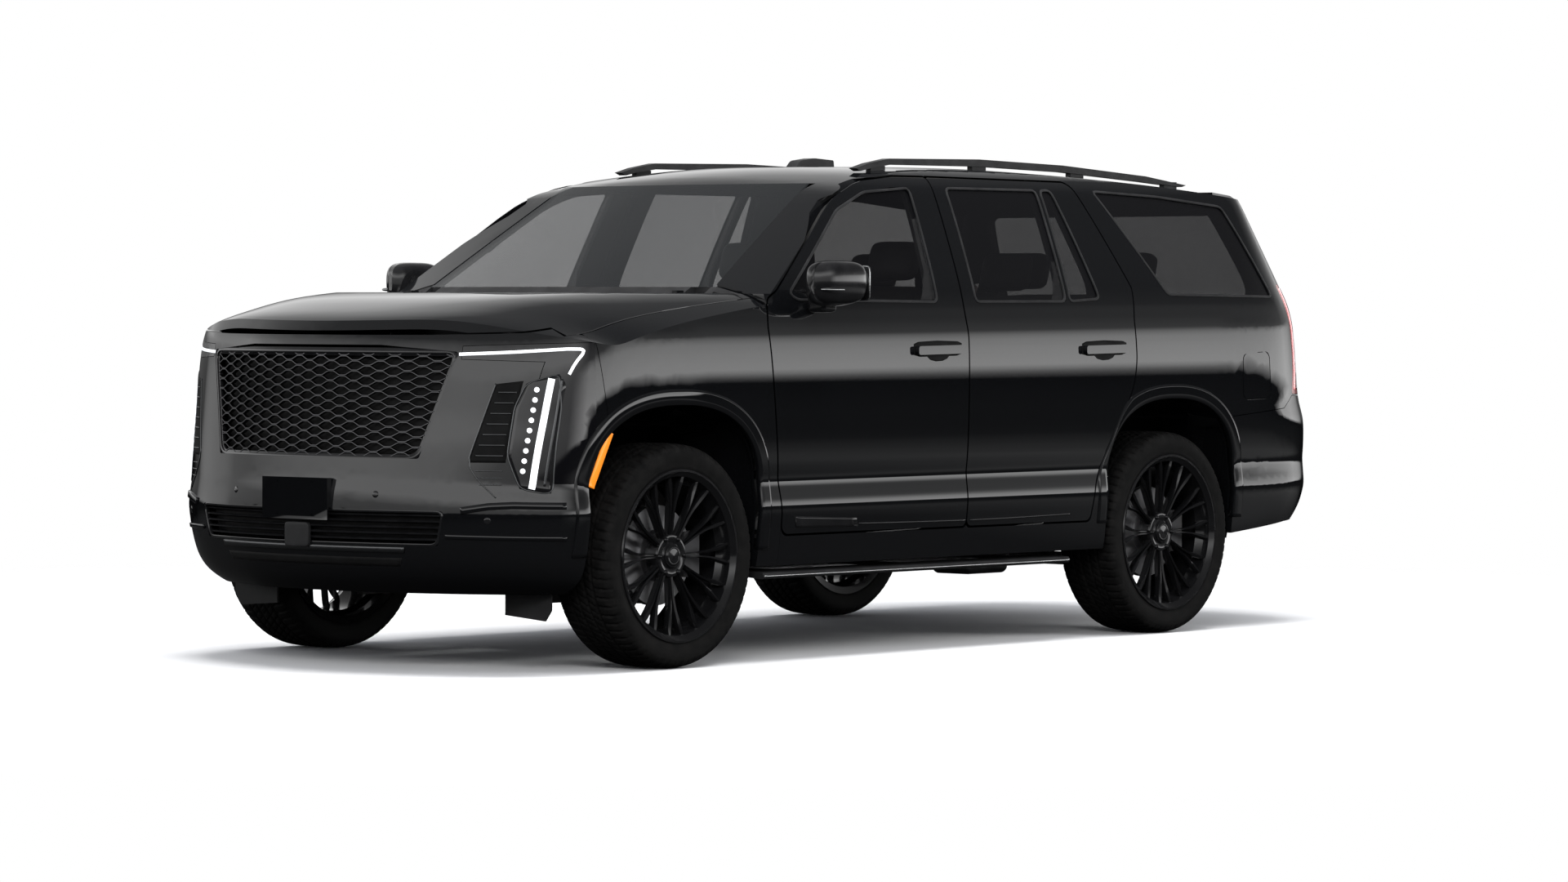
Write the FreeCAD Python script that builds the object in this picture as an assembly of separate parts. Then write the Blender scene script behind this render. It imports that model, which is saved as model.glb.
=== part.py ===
"""A full-size three-row sport utility vehicle, as separate pieces that roll, steer and open.

Millimetres. The vehicle stands on the ground at z = 0, with the origin under the middle of its
length and width. Forward is -Y, its left side is +X and up is +Z.
"""

import FreeCAD, Part

import math
import os

from FreeCAD import Vector

# Driving dimensions of the whole vehicle
LENGTH = 5382.0
WHEELBASE = 3071.0
FRONT_OVERHANG = 1010.0
SIDE_HALF_WIDTH = 1023.0
TRACK = 1742.0
SILL_BOTTOM = 290.0
ROCKER_BOTTOM = 365.0
BELT_HEIGHT = 1365.0

NOSE = -LENGTH / 2
TAIL = LENGTH / 2
FRONT_AXLE = NOSE + FRONT_OVERHANG
REAR_AXLE = FRONT_AXLE + WHEELBASE

# Wheels and tyres
TYRE_RADIUS = 419.0
TYRE_WIDTH = 285.0
BEAD_RADIUS = 304.0
RIM_FLANGE_RADIUS = 322.0
RIM_WIDTH = 268.0
RIM_WALL = 12.0
SPOKE_COUNT = 12
HUB_RADIUS = 82.0
STUD_CIRCLE = 139.7
STUD_COUNT = 6
SPINDLE_RADIUS = 30.0
BEARING_CLEARANCE = 0.05
DISC_RADIUS = 188.0
DISC_THICKNESS = 30.0
DISC_OFFSET = -12.0
NUT_RADIUS = 11.0
RUNNING_GAP = 6.0

# Steering
KINGPIN_FROM_WHEEL_CENTRE = 61.0
KINGPIN_RADIUS = 16.0

# Body walls
SHUT_GAP = 8.0
SKIN = 3.0
GROOVE_WIDTH = 5.0
HEM = 20.0
DOOR_THICKNESS = 110.0
DOOR_NOSE_THICKNESS = 30.0
DOOR_SEAL_GAP = 9.0
FRAME_THICKNESS = 45.0
BODY_WALL = 45.0
PANEL_WALL = 34.0
GLASS_THICKNESS = 5.0
GLASS_SETBACK = 5.0

# Wheel arches
ARCH_HALF_LENGTH_FRONT = 470.0
ARCH_HALF_LENGTH_REAR = 445.0
ARCH_CENTRE_SHIFT_FRONT = -25.0
ARCH_SPRING = 640.0
ARCH_TOP_FRONT = 980.0
ARCH_TOP_REAR = 975.0
ARCH_POWER = 2.4
LINER_WALL = 8.0
LINER_INNER_X = 640.0
REAR_LINER_GROW = 15.0

# Doors, all as seen from the left
HINGE_X = 1009.0
HINGE_PIN_RADIUS = 5.0
HINGE_EYE_RADIUS = 9.0
HINGE_PLATE_X = 895.0
HINGE_HEIGHTS = (900.0, 1150.0)
DOOR_BOTTOM = 484.0
DOOR_SPLIT = 26.0
FRONT_DOOR_EDGE = FRONT_AXLE + 491.0
REAR_DOOR_EDGE = REAR_AXLE - 268.0
FRONT_DOOR_HINGE_Y = FRONT_DOOR_EDGE + 103.0
REAR_DOOR_HINGE_Y = DOOR_SPLIT + 42.0

# Glass
WINDSHIELD_BASE = FRONT_AXLE + 331.0
WINDSHIELD_BASE_HEIGHT = 1420.0
WINDSHIELD_TOP_HEIGHT = 1835.0
WINDSHIELD_RUN = 1.83

# Lids
HOOD_HINGE_Y = WINDSHIELD_BASE + 125.0
HOOD_HINGE_Z = 1372.0
HOOD_WALL = 30.0
HOOD_HINGE_X = 700.0
HOOD_PIN_RADIUS = 8.0
COWL_TOP = 1395.0
COWL_CORNER_X = 770.0
COWL_CORNER_ROOM = 12.0
COWL_CORNER_DROP = 9.0
TAILGATE_HALF_WIDTH = 800.0
TAILGATE_BOTTOM = 985.0
TAILGATE_FLANGE = 25.0
TAILGATE_STEP = 14.0
TAILGATE_PIN_RADIUS = 5.0
TAILGATE_HINGE_X = 520.0
TAILGATE_HINGE_Y = TAIL - 541.0
TAILGATE_HINGE_Z = 1848.0

# Number plate bracket
PLATE_HEIGHT = 634.0
PLATE_SPACING_X = 178.0
PLATE_SPACING_Z = 121.0
PLATE_HOLE = 3.5

# Floor and frame
FLOOR_TOP = 500.0
FLOOR_THICKNESS = 18.0
FLOOR_STEP_AHEAD = 500.0
FLOOR_STEP_UP = 170.0
FRAME_OUTER_X = 480.0
RAIL_WIDTH = 80.0
RAIL_BOTTOM = 330.0
RAIL_HEIGHT = 130.0
ENGINE_ABOVE_RAIL_BOTTOM = 190.0

os.makedirs("parts", exist_ok=True)


def box(x0, x1, y0, y1, z0, z1):
    """A box between two corners."""
    return Part.makeBox(x1 - x0, y1 - y0, z1 - z0, Vector(x0, y0, z0))


def mirrored(shape):
    """The same shape on the other side of the vehicle."""
    return shape.mirror(Vector(0, 0, 0), Vector(1, 0, 0))


def both_sides(shape):
    """A left-hand shape together with its right-hand twin."""
    return Part.makeCompound([shape, mirrored(shape)])


def cylinder(radius, start, axis, length):
    """A cylinder that runs a length along an axis from its start."""
    return Part.makeCylinder(radius, length, Vector(*start), Vector(*axis))


def rounded_wire(points, radius, place):
    """A closed outline with an arc at each corner. place turns its two numbers into a point."""
    count = len(points)
    radii = radius if isinstance(radius, (list, tuple)) else [radius] * count
    starts, middles, ends = [], [], []
    for i in range(count):
        before, corner, after = points[i - 1], points[i], points[(i + 1) % count]
        u = (before[0] - corner[0], before[1] - corner[1])
        v = (after[0] - corner[0], after[1] - corner[1])
        lu, lv = math.hypot(*u), math.hypot(*v)
        u, v = (u[0] / lu, u[1] / lu), (v[0] / lv, v[1] / lv)
        opening = math.acos(max(-1.0, min(1.0, u[0] * v[0] + u[1] * v[1])))
        reach = min(radii[i] / math.tan(opening / 2), 0.48 * lu, 0.48 * lv)
        if opening > math.radians(179.0) or radii[i] <= 0:
            starts.append(corner)
            middles.append(None)
            ends.append(corner)
            continue
        r = reach * math.tan(opening / 2)
        bis = (u[0] + v[0], u[1] + v[1])
        lb = math.hypot(*bis)
        out = r / math.sin(opening / 2) - r
        starts.append((corner[0] + u[0] * reach, corner[1] + u[1] * reach))
        middles.append((corner[0] + bis[0] / lb * out, corner[1] + bis[1] / lb * out))
        ends.append((corner[0] + v[0] * reach, corner[1] + v[1] * reach))
    edges = []
    for i in range(count):
        if middles[i]:
            edges.append(Part.Arc(place(*starts[i]), place(*middles[i]), place(*ends[i])).toShape())
        a, b = place(*ends[i]), place(*starts[(i + 1) % count])
        if a.distanceToPoint(b) > 1e-4:
            edges.append(Part.LineSegment(a, b).toShape())
    return Part.Wire(edges)


def side_prism(points, radius=0.0, x0=500.0, x1=1300.0):
    """A prism across the vehicle whose outline is drawn in the side view."""
    wire = rounded_wire(points, radius, lambda y, z: Vector(x0, y, z))
    return Part.Face(wire).extrude(Vector(x1 - x0, 0, 0))


def rear_prism(points, radius, y0, y1):
    """A prism along the vehicle whose outline is drawn in the front or rear view."""
    wire = rounded_wire(points, radius, lambda x, z: Vector(x, y0, z))
    return Part.Face(wire).extrude(Vector(0, y1 - y0, 0))


def plan_prism(points, radius, z0, z1):
    """An upright prism whose outline is drawn in the top view."""
    wire = rounded_wire(points, radius, lambda x, y: Vector(x, y, z0))
    return Part.Face(wire).extrude(Vector(0, 0, z1 - z0))


def offset_outline(points, distance):
    """An outline moved outwards by a distance, corner by corner."""
    area = sum(
        points[i - 1][0] * points[i][1] - points[i][0] * points[i - 1][1] for i in range(len(points))
    )
    turn = 1.0 if area > 0 else -1.0
    moved = []
    for i in range(len(points)):
        before, corner, after = points[i - 1], points[i], points[(i + 1) % len(points)]
        a = (corner[0] - before[0], corner[1] - before[1])
        b = (after[0] - corner[0], after[1] - corner[1])
        la, lb = math.hypot(*a), math.hypot(*b)
        na = (a[1] / la * turn, -a[0] / la * turn)
        nb = (b[1] / lb * turn, -b[0] / lb * turn)
        s = 1.0 + na[0] * nb[0] + na[1] * nb[1]
        k = distance / max(s, 0.35)
        moved.append((corner[0] + (na[0] + nb[0]) * k, corner[1] + (na[1] + nb[1]) * k))
    return moved


# The lower body and greenhouse are one smooth surface. Each level gives its height, how far its
# side stands inside the widest point, and how far its nose and tail stand back from the ends.
BODY_LEVELS = (
    (SILL_BOTTOM, 93, 131, 300),
    (320, 48, 92, 230),
    (370, 26, 52, 170),
    (430, 19, 30, 100),
    (500, 13, 14, 30),
    (575, 5, 8, 5),
    (605, 5, 8, 1),
    (655, 12, 11, 0),
    (700, 17, 17, 0),
    (725, 12, 21, 1),
    (800, 6, 30, 4),
    (870, 3, 38, 12),
    (930, 2, 46, 50),
    (1000, 0, 54, 66),
    (1080, 0, 62, 76),
    (1160, 1, 70, 86),
    (1225, 4, 80, 94),
    (1262, 7, 91, 98),
    (1282, 11, 100, 101),
    (1320, 17, 115, 108),
    (BELT_HEIGHT, 24, 131, 126),
    (1420, 41, 151, 156),
    (1520, 82, 191, 215),
    (1640, 134, 231, 285),
    (1750, 185, 261, 340),
    (1810, 215, 271, 365),
    (1850, 241, 281, 382),
    (1885, 285, 291, 396),
    (1910, 363, 301, 410),
)
SIDE_STATIONS = (-1650, -1250, -850, -450, -50, 350, 750, 1150, 1500, 1800)
NOSE_POLES = ((0, 0), (0.24, 0), (0.50, 82), (0.72, 165), (0.87, 285), (0.985, 425), (1.0, 640))
TAIL_POLES = ((1.0, -640), (0.99, -412), (0.93, -210), (0.80, -95), (0.56, -24), (0.26, 0), (0, 0))
TOP_TAIL_POLES = ((1.0, -420), (1.0, -260), (0.975, -130), (0.86, -60), (0.56, -22), (0.26, 0), (0, 0))
LEVEL_RAKE = 0.0105


def level_poles(height, inset, nose_back, tail_back, shrink):
    """The poles of half of one level's outline, from the nose round the left side to the tail."""
    width = SIDE_HALF_WIDTH - inset - shrink
    nose = NOSE + nose_back + shrink
    tail = TAIL - tail_back - shrink
    upper = min(1.0, max(0.0, (height - 1400.0) / 400.0))
    tail_poles = [
        (a * (1 - upper) + c * upper, b * (1 - upper) + d * upper)
        for (a, b), (c, d) in zip(TAIL_POLES, TOP_TAIL_POLES)
    ]
    flat = [(x * width, nose + y) for x, y in NOSE_POLES]
    flat += [(width, y) for y in SIDE_STATIONS]
    flat += [(x * width, tail + y) for x, y in tail_poles]
    tilt = LEVEL_RAKE * max(0.0, 1.0 - abs(height - 1270.0) / 900.0)
    return [Vector(x, y, height + tilt * y) for x, y in flat]


def uniform_surface(poles):
    """A smooth surface over rows of poles, cubic both ways with even knots."""
    rows, columns = len(poles), len(poles[0])
    surface = Part.BSplineSurface()
    surface.buildFromPolesMultsKnots(
        poles,
        [4] + [1] * (rows - 4) + [4],
        [4] + [1] * (columns - 4) + [4],
        [float(i) for i in range(rows - 2)],
        [float(i) for i in range(columns - 2)],
        False,
        False,
        3,
        3,
    )
    return surface


def body_solid(shrink):
    """The closed body form, moved inwards by shrink, which may be a function of height."""
    amount = shrink if callable(shrink) else (lambda z: shrink)
    poles = [level_poles(*level, amount(level[0])) for level in BODY_LEVELS]
    left = uniform_surface(poles).toShape()
    right = mirrored(left)
    caps = []
    for row in (poles[0], poles[-1]):
        curve = Part.BSplineCurve()
        count = len(row)
        curve.buildFromPolesMultsKnots(
            row, [4] + [1] * (count - 4) + [4], [float(i) for i in range(count - 2)], False, 3
        )
        edge = curve.toShape()
        caps.append(Part.Face(Part.Wire([edge, mirrored(edge)])))
    shell = Part.makeShell([left, right] + caps)
    shell.sewShape()
    solid = Part.Solid(shell)
    if solid.Volume < 0:
        solid.reverse()
    return solid


def door_depth(z):
    """How far the inner face of a door lies inside the outer skin, at a height."""
    upper = min(1.0, max(0.0, (z - 1330.0) / 70.0))
    return DOOR_THICKNESS * (1 - upper) + FRAME_THICKNESS * upper


# Heights of the hood's middle and of its shut line, each over a distance behind the nose.
HOOD_STATIONS = (
    (-80, 1080, 1075),
    (-20, 1190, 1180),
    (38, 1256, 1232),
    (131, 1300, 1244),
    (291, 1334, 1254),
    (551, 1381, 1292),
    (872, 1406, 1328),
    (1221, 1426, 1360),
    (1560, 1436, 1388),
)
HOOD_CROWN = ((0, 1.0), (250, 1.0), (500, 1.0), (700, 0.93), (860, 0.45), (960, -0.25), (1080, -1.3))
NOSE_SWEEP = (0, 8, 62, 165, 290, 390, 470)


def hood_surface():
    """The top surface of the hood and fenders, crowned across and swept back at its corners."""
    rows = []
    for i, (back, middle, shut) in enumerate(HOOD_STATIONS):
        follow = (1.0, 1.0, 1.0, 1.0, 0.85, 0.45, 0.15, 0.0, 0.0)[i]
        row = []
        for (x, crown), sweep in zip(HOOD_CROWN, NOSE_SWEEP):
            z = shut + (middle - shut) * crown
            row.append(Vector(x, NOSE + back + sweep * follow, z))
        rows.append([Vector(-p.x, p.y, p.z) for p in reversed(row[1:])] + row)
    return uniform_surface(rows)


def windshield_surface():
    """The windshield's outer surface, run on past its edges."""
    rows = []
    for step in (-0.5, 0.0, 0.5, 1.0, 1.4):
        z = WINDSHIELD_BASE_HEIGHT + step * (WINDSHIELD_TOP_HEIGHT - WINDSHIELD_BASE_HEIGHT)
        y = WINDSHIELD_BASE + WINDSHIELD_RUN * (z - WINDSHIELD_BASE_HEIGHT)
        sag = 2.42e-4 - 1.0e-4 * step
        xs = (-1150, -800, -400, 0, 400, 800, 1150)
        rows.append([Vector(x, y + sag * max(0, x * x - 26000.0), z) for x in xs])
    return uniform_surface(rows)


ROOF_STATIONS = (
    (-900, 1640),
    (-640, 1822),
    (-420, 1878),
    (-150, 1917),
    (200, 1934),
    (650, 1934),
    (1150, 1922),
    (1650, 1900),
    (2050, 1872),
    (2420, 1836),
)


def roof_surface():
    """The roof's outer surface, lower towards its edges."""
    rows = []
    for y, z in ROOF_STATIONS:
        rows.append([Vector(x, y, z - 6.6e-5 * x * x + 3) for x in (-1100, -750, -400, 0, 400, 750, 1100)])
    return uniform_surface(rows)


def above(surface, height=1500.0):
    """Everything over a surface."""
    return surface.toShape().extrude(Vector(0, 0, height))


def moved(shape, x, y, z):
    """A shifted copy of a shape."""
    copy = shape.copy()
    copy.translate(Vector(x, y, z))
    return copy


def arch_outline(axle, half_length, top, grow=0.0, steps=14):
    """One wheel arch in the side view: straight sides under a squarish curve."""
    a, b = half_length + grow, top + grow - ARCH_SPRING
    points = []
    for i in range(steps + 1):
        t = math.pi * i / steps
        c, s = math.cos(t), math.sin(t)
        y = axle - a * math.copysign(abs(c) ** (2 / ARCH_POWER), c)
        points.append(Vector(0, y, ARCH_SPRING + b * abs(s) ** (2 / ARCH_POWER)))
    return points


def arch_prism(axle, half_length, top, grow, x0, x1, bottom=60.0):
    """A wheel arch's opening as a prism across the vehicle."""
    points = [Vector(x0, p.y, p.z) for p in arch_outline(axle, half_length, top, grow)]
    curve = Part.BSplineCurve()
    curve.interpolate(points)
    first, last = points[0], points[-1]
    low_first, low_last = Vector(x0, first.y, bottom), Vector(x0, last.y, bottom)
    wire = Part.Wire(
        [
            curve.toShape(),
            Part.LineSegment(last, low_last).toShape(),
            Part.LineSegment(low_last, low_first).toShape(),
            Part.LineSegment(low_first, first).toShape(),
        ]
    )
    return Part.Face(wire).extrude(Vector(x1 - x0, 0, 0))


FRONT_ARCH = (FRONT_AXLE + ARCH_CENTRE_SHIFT_FRONT, ARCH_HALF_LENGTH_FRONT, ARCH_TOP_FRONT)
REAR_ARCH = (REAR_AXLE, ARCH_HALF_LENGTH_REAR, ARCH_TOP_REAR)

# Door and window outlines in the side view, as (y, z).
FRONT_DOOR = [
    (FRONT_DOOR_EDGE + 85, DOOR_BOTTOM),
    (FRONT_DOOR_EDGE + 83, 560),
    (FRONT_DOOR_EDGE, 1262),
    (FRONT_DOOR_EDGE + 15, 1372),
    (FRONT_DOOR_EDGE + 80, 1402),
    (-618, 1762),
    (-405, 1838),
    (-150, 1862),
    (DOOR_SPLIT + 38 - SHUT_GAP, 1864),
    (DOOR_SPLIT - 14 - SHUT_GAP, 1365),
    (DOOR_SPLIT - SHUT_GAP, 1230),
    (DOOR_SPLIT - SHUT_GAP, DOOR_BOTTOM),
]
FRONT_DOOR_RADII = [40, 0, 200, 40, 30, 600, 400, 0, 12, 300, 300, 25]
REAR_DOOR = [
    (DOOR_SPLIT, DOOR_BOTTOM),
    (DOOR_SPLIT, 1230),
    (DOOR_SPLIT - 14, 1365),
    (DOOR_SPLIT + 38, 1864),
    (REAR_DOOR_EDGE - 145, 1862),
    (REAR_DOOR_EDGE + 22, 1432),
    (REAR_DOOR_EDGE, 1290),
    (REAR_DOOR_EDGE + 8, 1135),
    (REAR_DOOR_EDGE - 8, 1040),
    (REAR_DOOR_EDGE - 60, 940),
    (REAR_DOOR_EDGE - 196, 752),
    (REAR_DOOR_EDGE - 262, 630),
    (REAR_DOOR_EDGE - 290, DOOR_BOTTOM),
]
REAR_DOOR_RADII = [25, 300, 300, 12, 60, 25, 200, 300, 200, 200, 300, 200, 30]
FRONT_WINDOW = [
    (FRONT_DOOR_EDGE + 150, 1400),
    (-592, 1727),
    (-386, 1800),
    (-200, 1820),
    (-98, 1823),
    (-168, 1366),
]
FRONT_WINDOW_RADII = [18, 500, 400, 0, 14, 14]
REAR_WINDOW = [(91, 1368), (138, 1825), (728, 1828), (678, 1372)]
VENT_WINDOW = [(706, 1372), (756, 1828), (828, 1830), (912, 1384)]
QUARTER_RADII = [18, 18, 0, 40, 22]
QUARTER_WINDOW = [(1384, 1404), (1112, 1832), (1551, 1818), (1990, 1784), (2165, 1398)]
HANDLE_LENGTH = 290.0
HANDLE_HEIGHT = 1178.0
FUEL_DOOR = [(1890, 965), (1885, 1160), (2085, 1166), (2100, 970)]


def windshield_outline(grow):
    """The windshield's opening in the front view."""
    half_base, half_top = 752 + grow, 646 + grow
    base, top = WINDSHIELD_BASE_HEIGHT - grow, WINDSHIELD_TOP_HEIGHT - 4 + grow
    return [(-half_base, base), (-half_top, top), (half_top, top), (half_base, base)]


def main_forms():
    """The big forms that every panel is cut from."""
    windshield = windshield_surface().toShape()
    roof = roof_surface()
    hood = hood_surface()
    forms = {
        "ahead": windshield.extrude(Vector(0, -1900, 0)),
        "over_roof": above(roof),
        "over_hood": above(hood),
    }
    outer = body_solid(0.0)
    cowl_cut = forms["ahead"].common(box(-1200, 1200, NOSE - 50, -400, COWL_TOP, 2600))
    nose_cut = forms["over_hood"].common(box(-1200, 1200, NOSE - 200, WINDSHIELD_BASE + 160, 900, 2600))
    forms["trim"] = [cowl_cut, nose_cut, forms["over_roof"]]
    forms["outer"] = outer.cut(forms["trim"])
    forms["door_inner"] = body_solid(door_depth)
    inside = body_solid(lambda z: door_depth(z) + BODY_WALL)
    inside = inside.cut([moved(forms["ahead"], 0, 70, 0), moved(forms["over_roof"], 0, 0, -BODY_WALL)])
    forms["cabin"] = inside.common(box(-1100, 1100, WINDSHIELD_BASE + 30, TAIL, FLOOR_TOP, 2100))
    forms["skin_inner"] = body_solid(SKIN)
    forms["panel_inner"] = body_solid(PANEL_WALL)
    forms["glass_out"] = body_solid(GLASS_SETBACK)
    forms["glass_in"] = body_solid(GLASS_SETBACK + GLASS_THICKNESS)
    under = forms["panel_inner"].cut(moved(forms["over_hood"], 0, 0, -PANEL_WALL))
    forms["panel_hollow"] = under
    forms["lid_hollow"] = forms["door_inner"].cut(moved(forms["over_roof"], 0, 0, -FRAME_THICKNESS))
    forms["panel_back"] = body_solid(PANEL_WALL + 1.0)
    forms["seal_line"] = body_solid(lambda z: door_depth(z) + DOOR_SEAL_GAP)
    forms["nose_back"] = body_solid(DOOR_NOSE_THICKNESS)
    return forms


def biggest(shape):
    """The largest solid of a shape, without the slivers that a cut leaves."""
    return max(shape.Solids, key=lambda s: s.Volume)


def hinge_eye(y, z, x=HINGE_X):
    """The door's half of a hinge: a leaf with an eye that turns on the body's pin."""
    eye = cylinder(HINGE_EYE_RADIUS, (x, y, z - 18), (0, 0, 1), 36)
    leaf = box(x - 10, x + 6, y, y + 44, z - 18, z + 18)
    bore = cylinder(HINGE_PIN_RADIUS + BEARING_CLEARANCE, (x, y, z - 40), (0, 0, 1), 80)
    return eye.fuse(leaf).cut(bore)


def hinge_bracket(y, z):
    """The body's half of a hinge: a plate on the pillar and two arms that hold the pin."""
    x = HINGE_X
    pin = cylinder(HINGE_PIN_RADIUS, (x, y, z - 34), (0, 0, 1), 68)
    plate = box(HINGE_PLATE_X - 26, HINGE_PLATE_X, y - 90, y + 8, z - 34, z + 34)
    arms = [box(HINGE_PLATE_X - 4, x - 14, y - 8, y + 8, z0, z0 + 10) for z0 in (z - 34, z + 24)]
    tips = [box(x - 15, x, y - 4, y + 4, z0, z0 + 10) for z0 in (z - 34, z + 24)]
    return pin.fuse([plate] + arms + tips)


def make_door(forms, outline, radii, windows, hinge_y):
    """A left-hand door with its hemmed edge, window holes and hinge pockets."""
    prism = side_prism(outline, radii)
    door = forms["outer"].common(prism).cut(forms["door_inner"])
    inner = side_prism(offset_outline(outline, -HEM), [max(0.0, r - HEM) for r in radii])
    ring = prism.cut(inner).common(forms["skin_inner"])
    door = door.cut(ring)
    for window, r in windows:
        door = door.cut(side_prism(window, r))
    door = biggest(door)
    nose_room = box(600, 1200, hinge_y - 200, hinge_y + 4, DOOR_BOTTOM - 50, 1900)
    door = door.cut(nose_room.common(forms["nose_back"]))
    for z in HINGE_HEIGHTS:
        pocket = box(HINGE_X - 200, HINGE_X + 14, hinge_y - 130, hinge_y + 32, z - 62, z + 62)
        door = door.cut(pocket.common(forms["skin_inner"]))
        door = door.fuse(hinge_eye(hinge_y, z))
    return biggest(door)


def window_glass(forms, outline, radii):
    """A pane that fills a window, following the side's curve."""
    return forms["glass_out"].common(side_prism(outline, radii)).cut(forms["glass_in"])


HOOD_HALF_WIDTH = 928.0
COWL_GAP = 45.0
SEAM = 3.0


def hood_rear_edge(offset):
    """The hood's rear edge in the top view, which follows the windshield's base."""
    xs = (-HOOD_HALF_WIDTH, -800, -600, -300, 0, 300, 600, 800, HOOD_HALF_WIDTH)
    middle = WINDSHIELD_BASE - COWL_GAP
    last = FRONT_DOOR_EDGE - 58
    return [(x, min(last, middle + 2.42e-4 * max(0.0, x * x - 26000.0)) + offset) for x in xs]


HOOD_FRONT_LINE = [(NOSE - 100, 1238), (NOSE + 190, 1243), (NOSE + 340, 1251), (NOSE + 455, 1266)]
FENDER_SPLIT = [(NOSE + 541, 1264), (NOSE + 558, 1190), (NOSE + 606, 925), (NOSE + 640, 800)]


def make_hood(forms):
    """The hood: a crowned panel whose nose turns down, with its hinge arms."""
    plan = hood_rear_edge(0.0)
    plan = [(-HOOD_HALF_WIDTH, NOSE - 100)] + plan + [(HOOD_HALF_WIDTH, NOSE - 100)]
    below = HOOD_FRONT_LINE + [(NOSE + 480, 1200), (NOSE + 480, 800), (NOSE - 100, 800)]
    hood = forms["outer"].common(plan_prism(plan, 0, 900, 1700))
    hood = hood.common(moved(forms["over_hood"], 0, 0, -HOOD_WALL))
    hood = biggest(hood.cut(side_prism(below, 0, -1200, 1200)))
    for x in (-HOOD_HINGE_X, HOOD_HINGE_X):
        arm = box(x - 12, x + 12, HOOD_HINGE_Y - 150, HOOD_HINGE_Y, HOOD_HINGE_Z - 12, HOOD_HINGE_Z + 12)
        y, z = HOOD_HINGE_Y, HOOD_HINGE_Z
        post = box(x - 12, x + 12, y - 150, y - 110, z - 12, z + 34)
        eye = cylinder(14, (x - 12, HOOD_HINGE_Y, HOOD_HINGE_Z), (1, 0, 0), 24)
        start = (x - 20, HOOD_HINGE_Y, HOOD_HINGE_Z)
        bore = cylinder(HOOD_PIN_RADIUS + BEARING_CLEARANCE, start, (1, 0, 0), 40)
        hood = hood.fuse(arm.fuse([post, eye]).cut(bore))
    return biggest(hood)


def wheel_liner(arch, grow, inner_x, outer_x, wall_bottom, forms):
    """The shell over a wheel: a curved roof and an inner wall."""
    axle, half_length, top = arch
    roof = arch_prism(axle, half_length, top, grow + LINER_WALL, inner_x - LINER_WALL, outer_x, 380)
    hole = arch_prism(axle, half_length, top, grow, inner_x, outer_x + 50, 200)
    liner = roof.cut(hole)
    low = box(inner_x - 50, inner_x, axle - 700, axle + 700, 0, wall_bottom)
    return liner.cut(low).common(forms["skin_inner"])


def fender_rear_edge(grow):
    """The fender's rear edge in the side view, from its foot up to the hood."""
    y = FRONT_DOOR_EDGE - SHUT_GAP + grow
    return [(y + 83, ROCKER_BOTTOM - grow), (y + 83, 560), (y, 1262), (y + 12, 1384), (y + 12, 1500 + grow)]


def make_fender(forms):
    """A left fender: its outer panel, the lip beside the door and the wheel liner."""
    outline = fender_rear_edge(0.0) + [(NOSE + 541, 1500)] + FENDER_SPLIT + [(NOSE + 640, ROCKER_BOTTOM)]
    fender = forms["outer"].common(side_prism(outline, 0)).cut(forms["panel_hollow"])
    fender = fender.cut(box(400, HOOD_HALF_WIDTH + 6, NOSE, FRONT_DOOR_EDGE + 300, 1150, 1600))
    fender = fender.cut(arch_prism(*FRONT_ARCH, 0, 400, 1300))
    undercut = side_prism(offset_outline(FRONT_DOOR, SHUT_GAP + 16), FRONT_DOOR_RADII)
    fender = biggest(fender.cut(undercut.common(forms["skin_inner"])))
    liner = wheel_liner(FRONT_ARCH, 26, FRAME_OUTER_X + 28, 1010, 770, forms)
    keep = box(400, 1100, NOSE, FRONT_DOOR_EDGE - 6, 200, 1300)
    bumper_room = side_prism(front_bumper_outline(1.0), 0, 400, 1200).cut(forms["panel_back"])
    liner = liner.common(keep).cut([undercut, bumper_room])
    return biggest(fender.fuse(liner))


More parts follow.
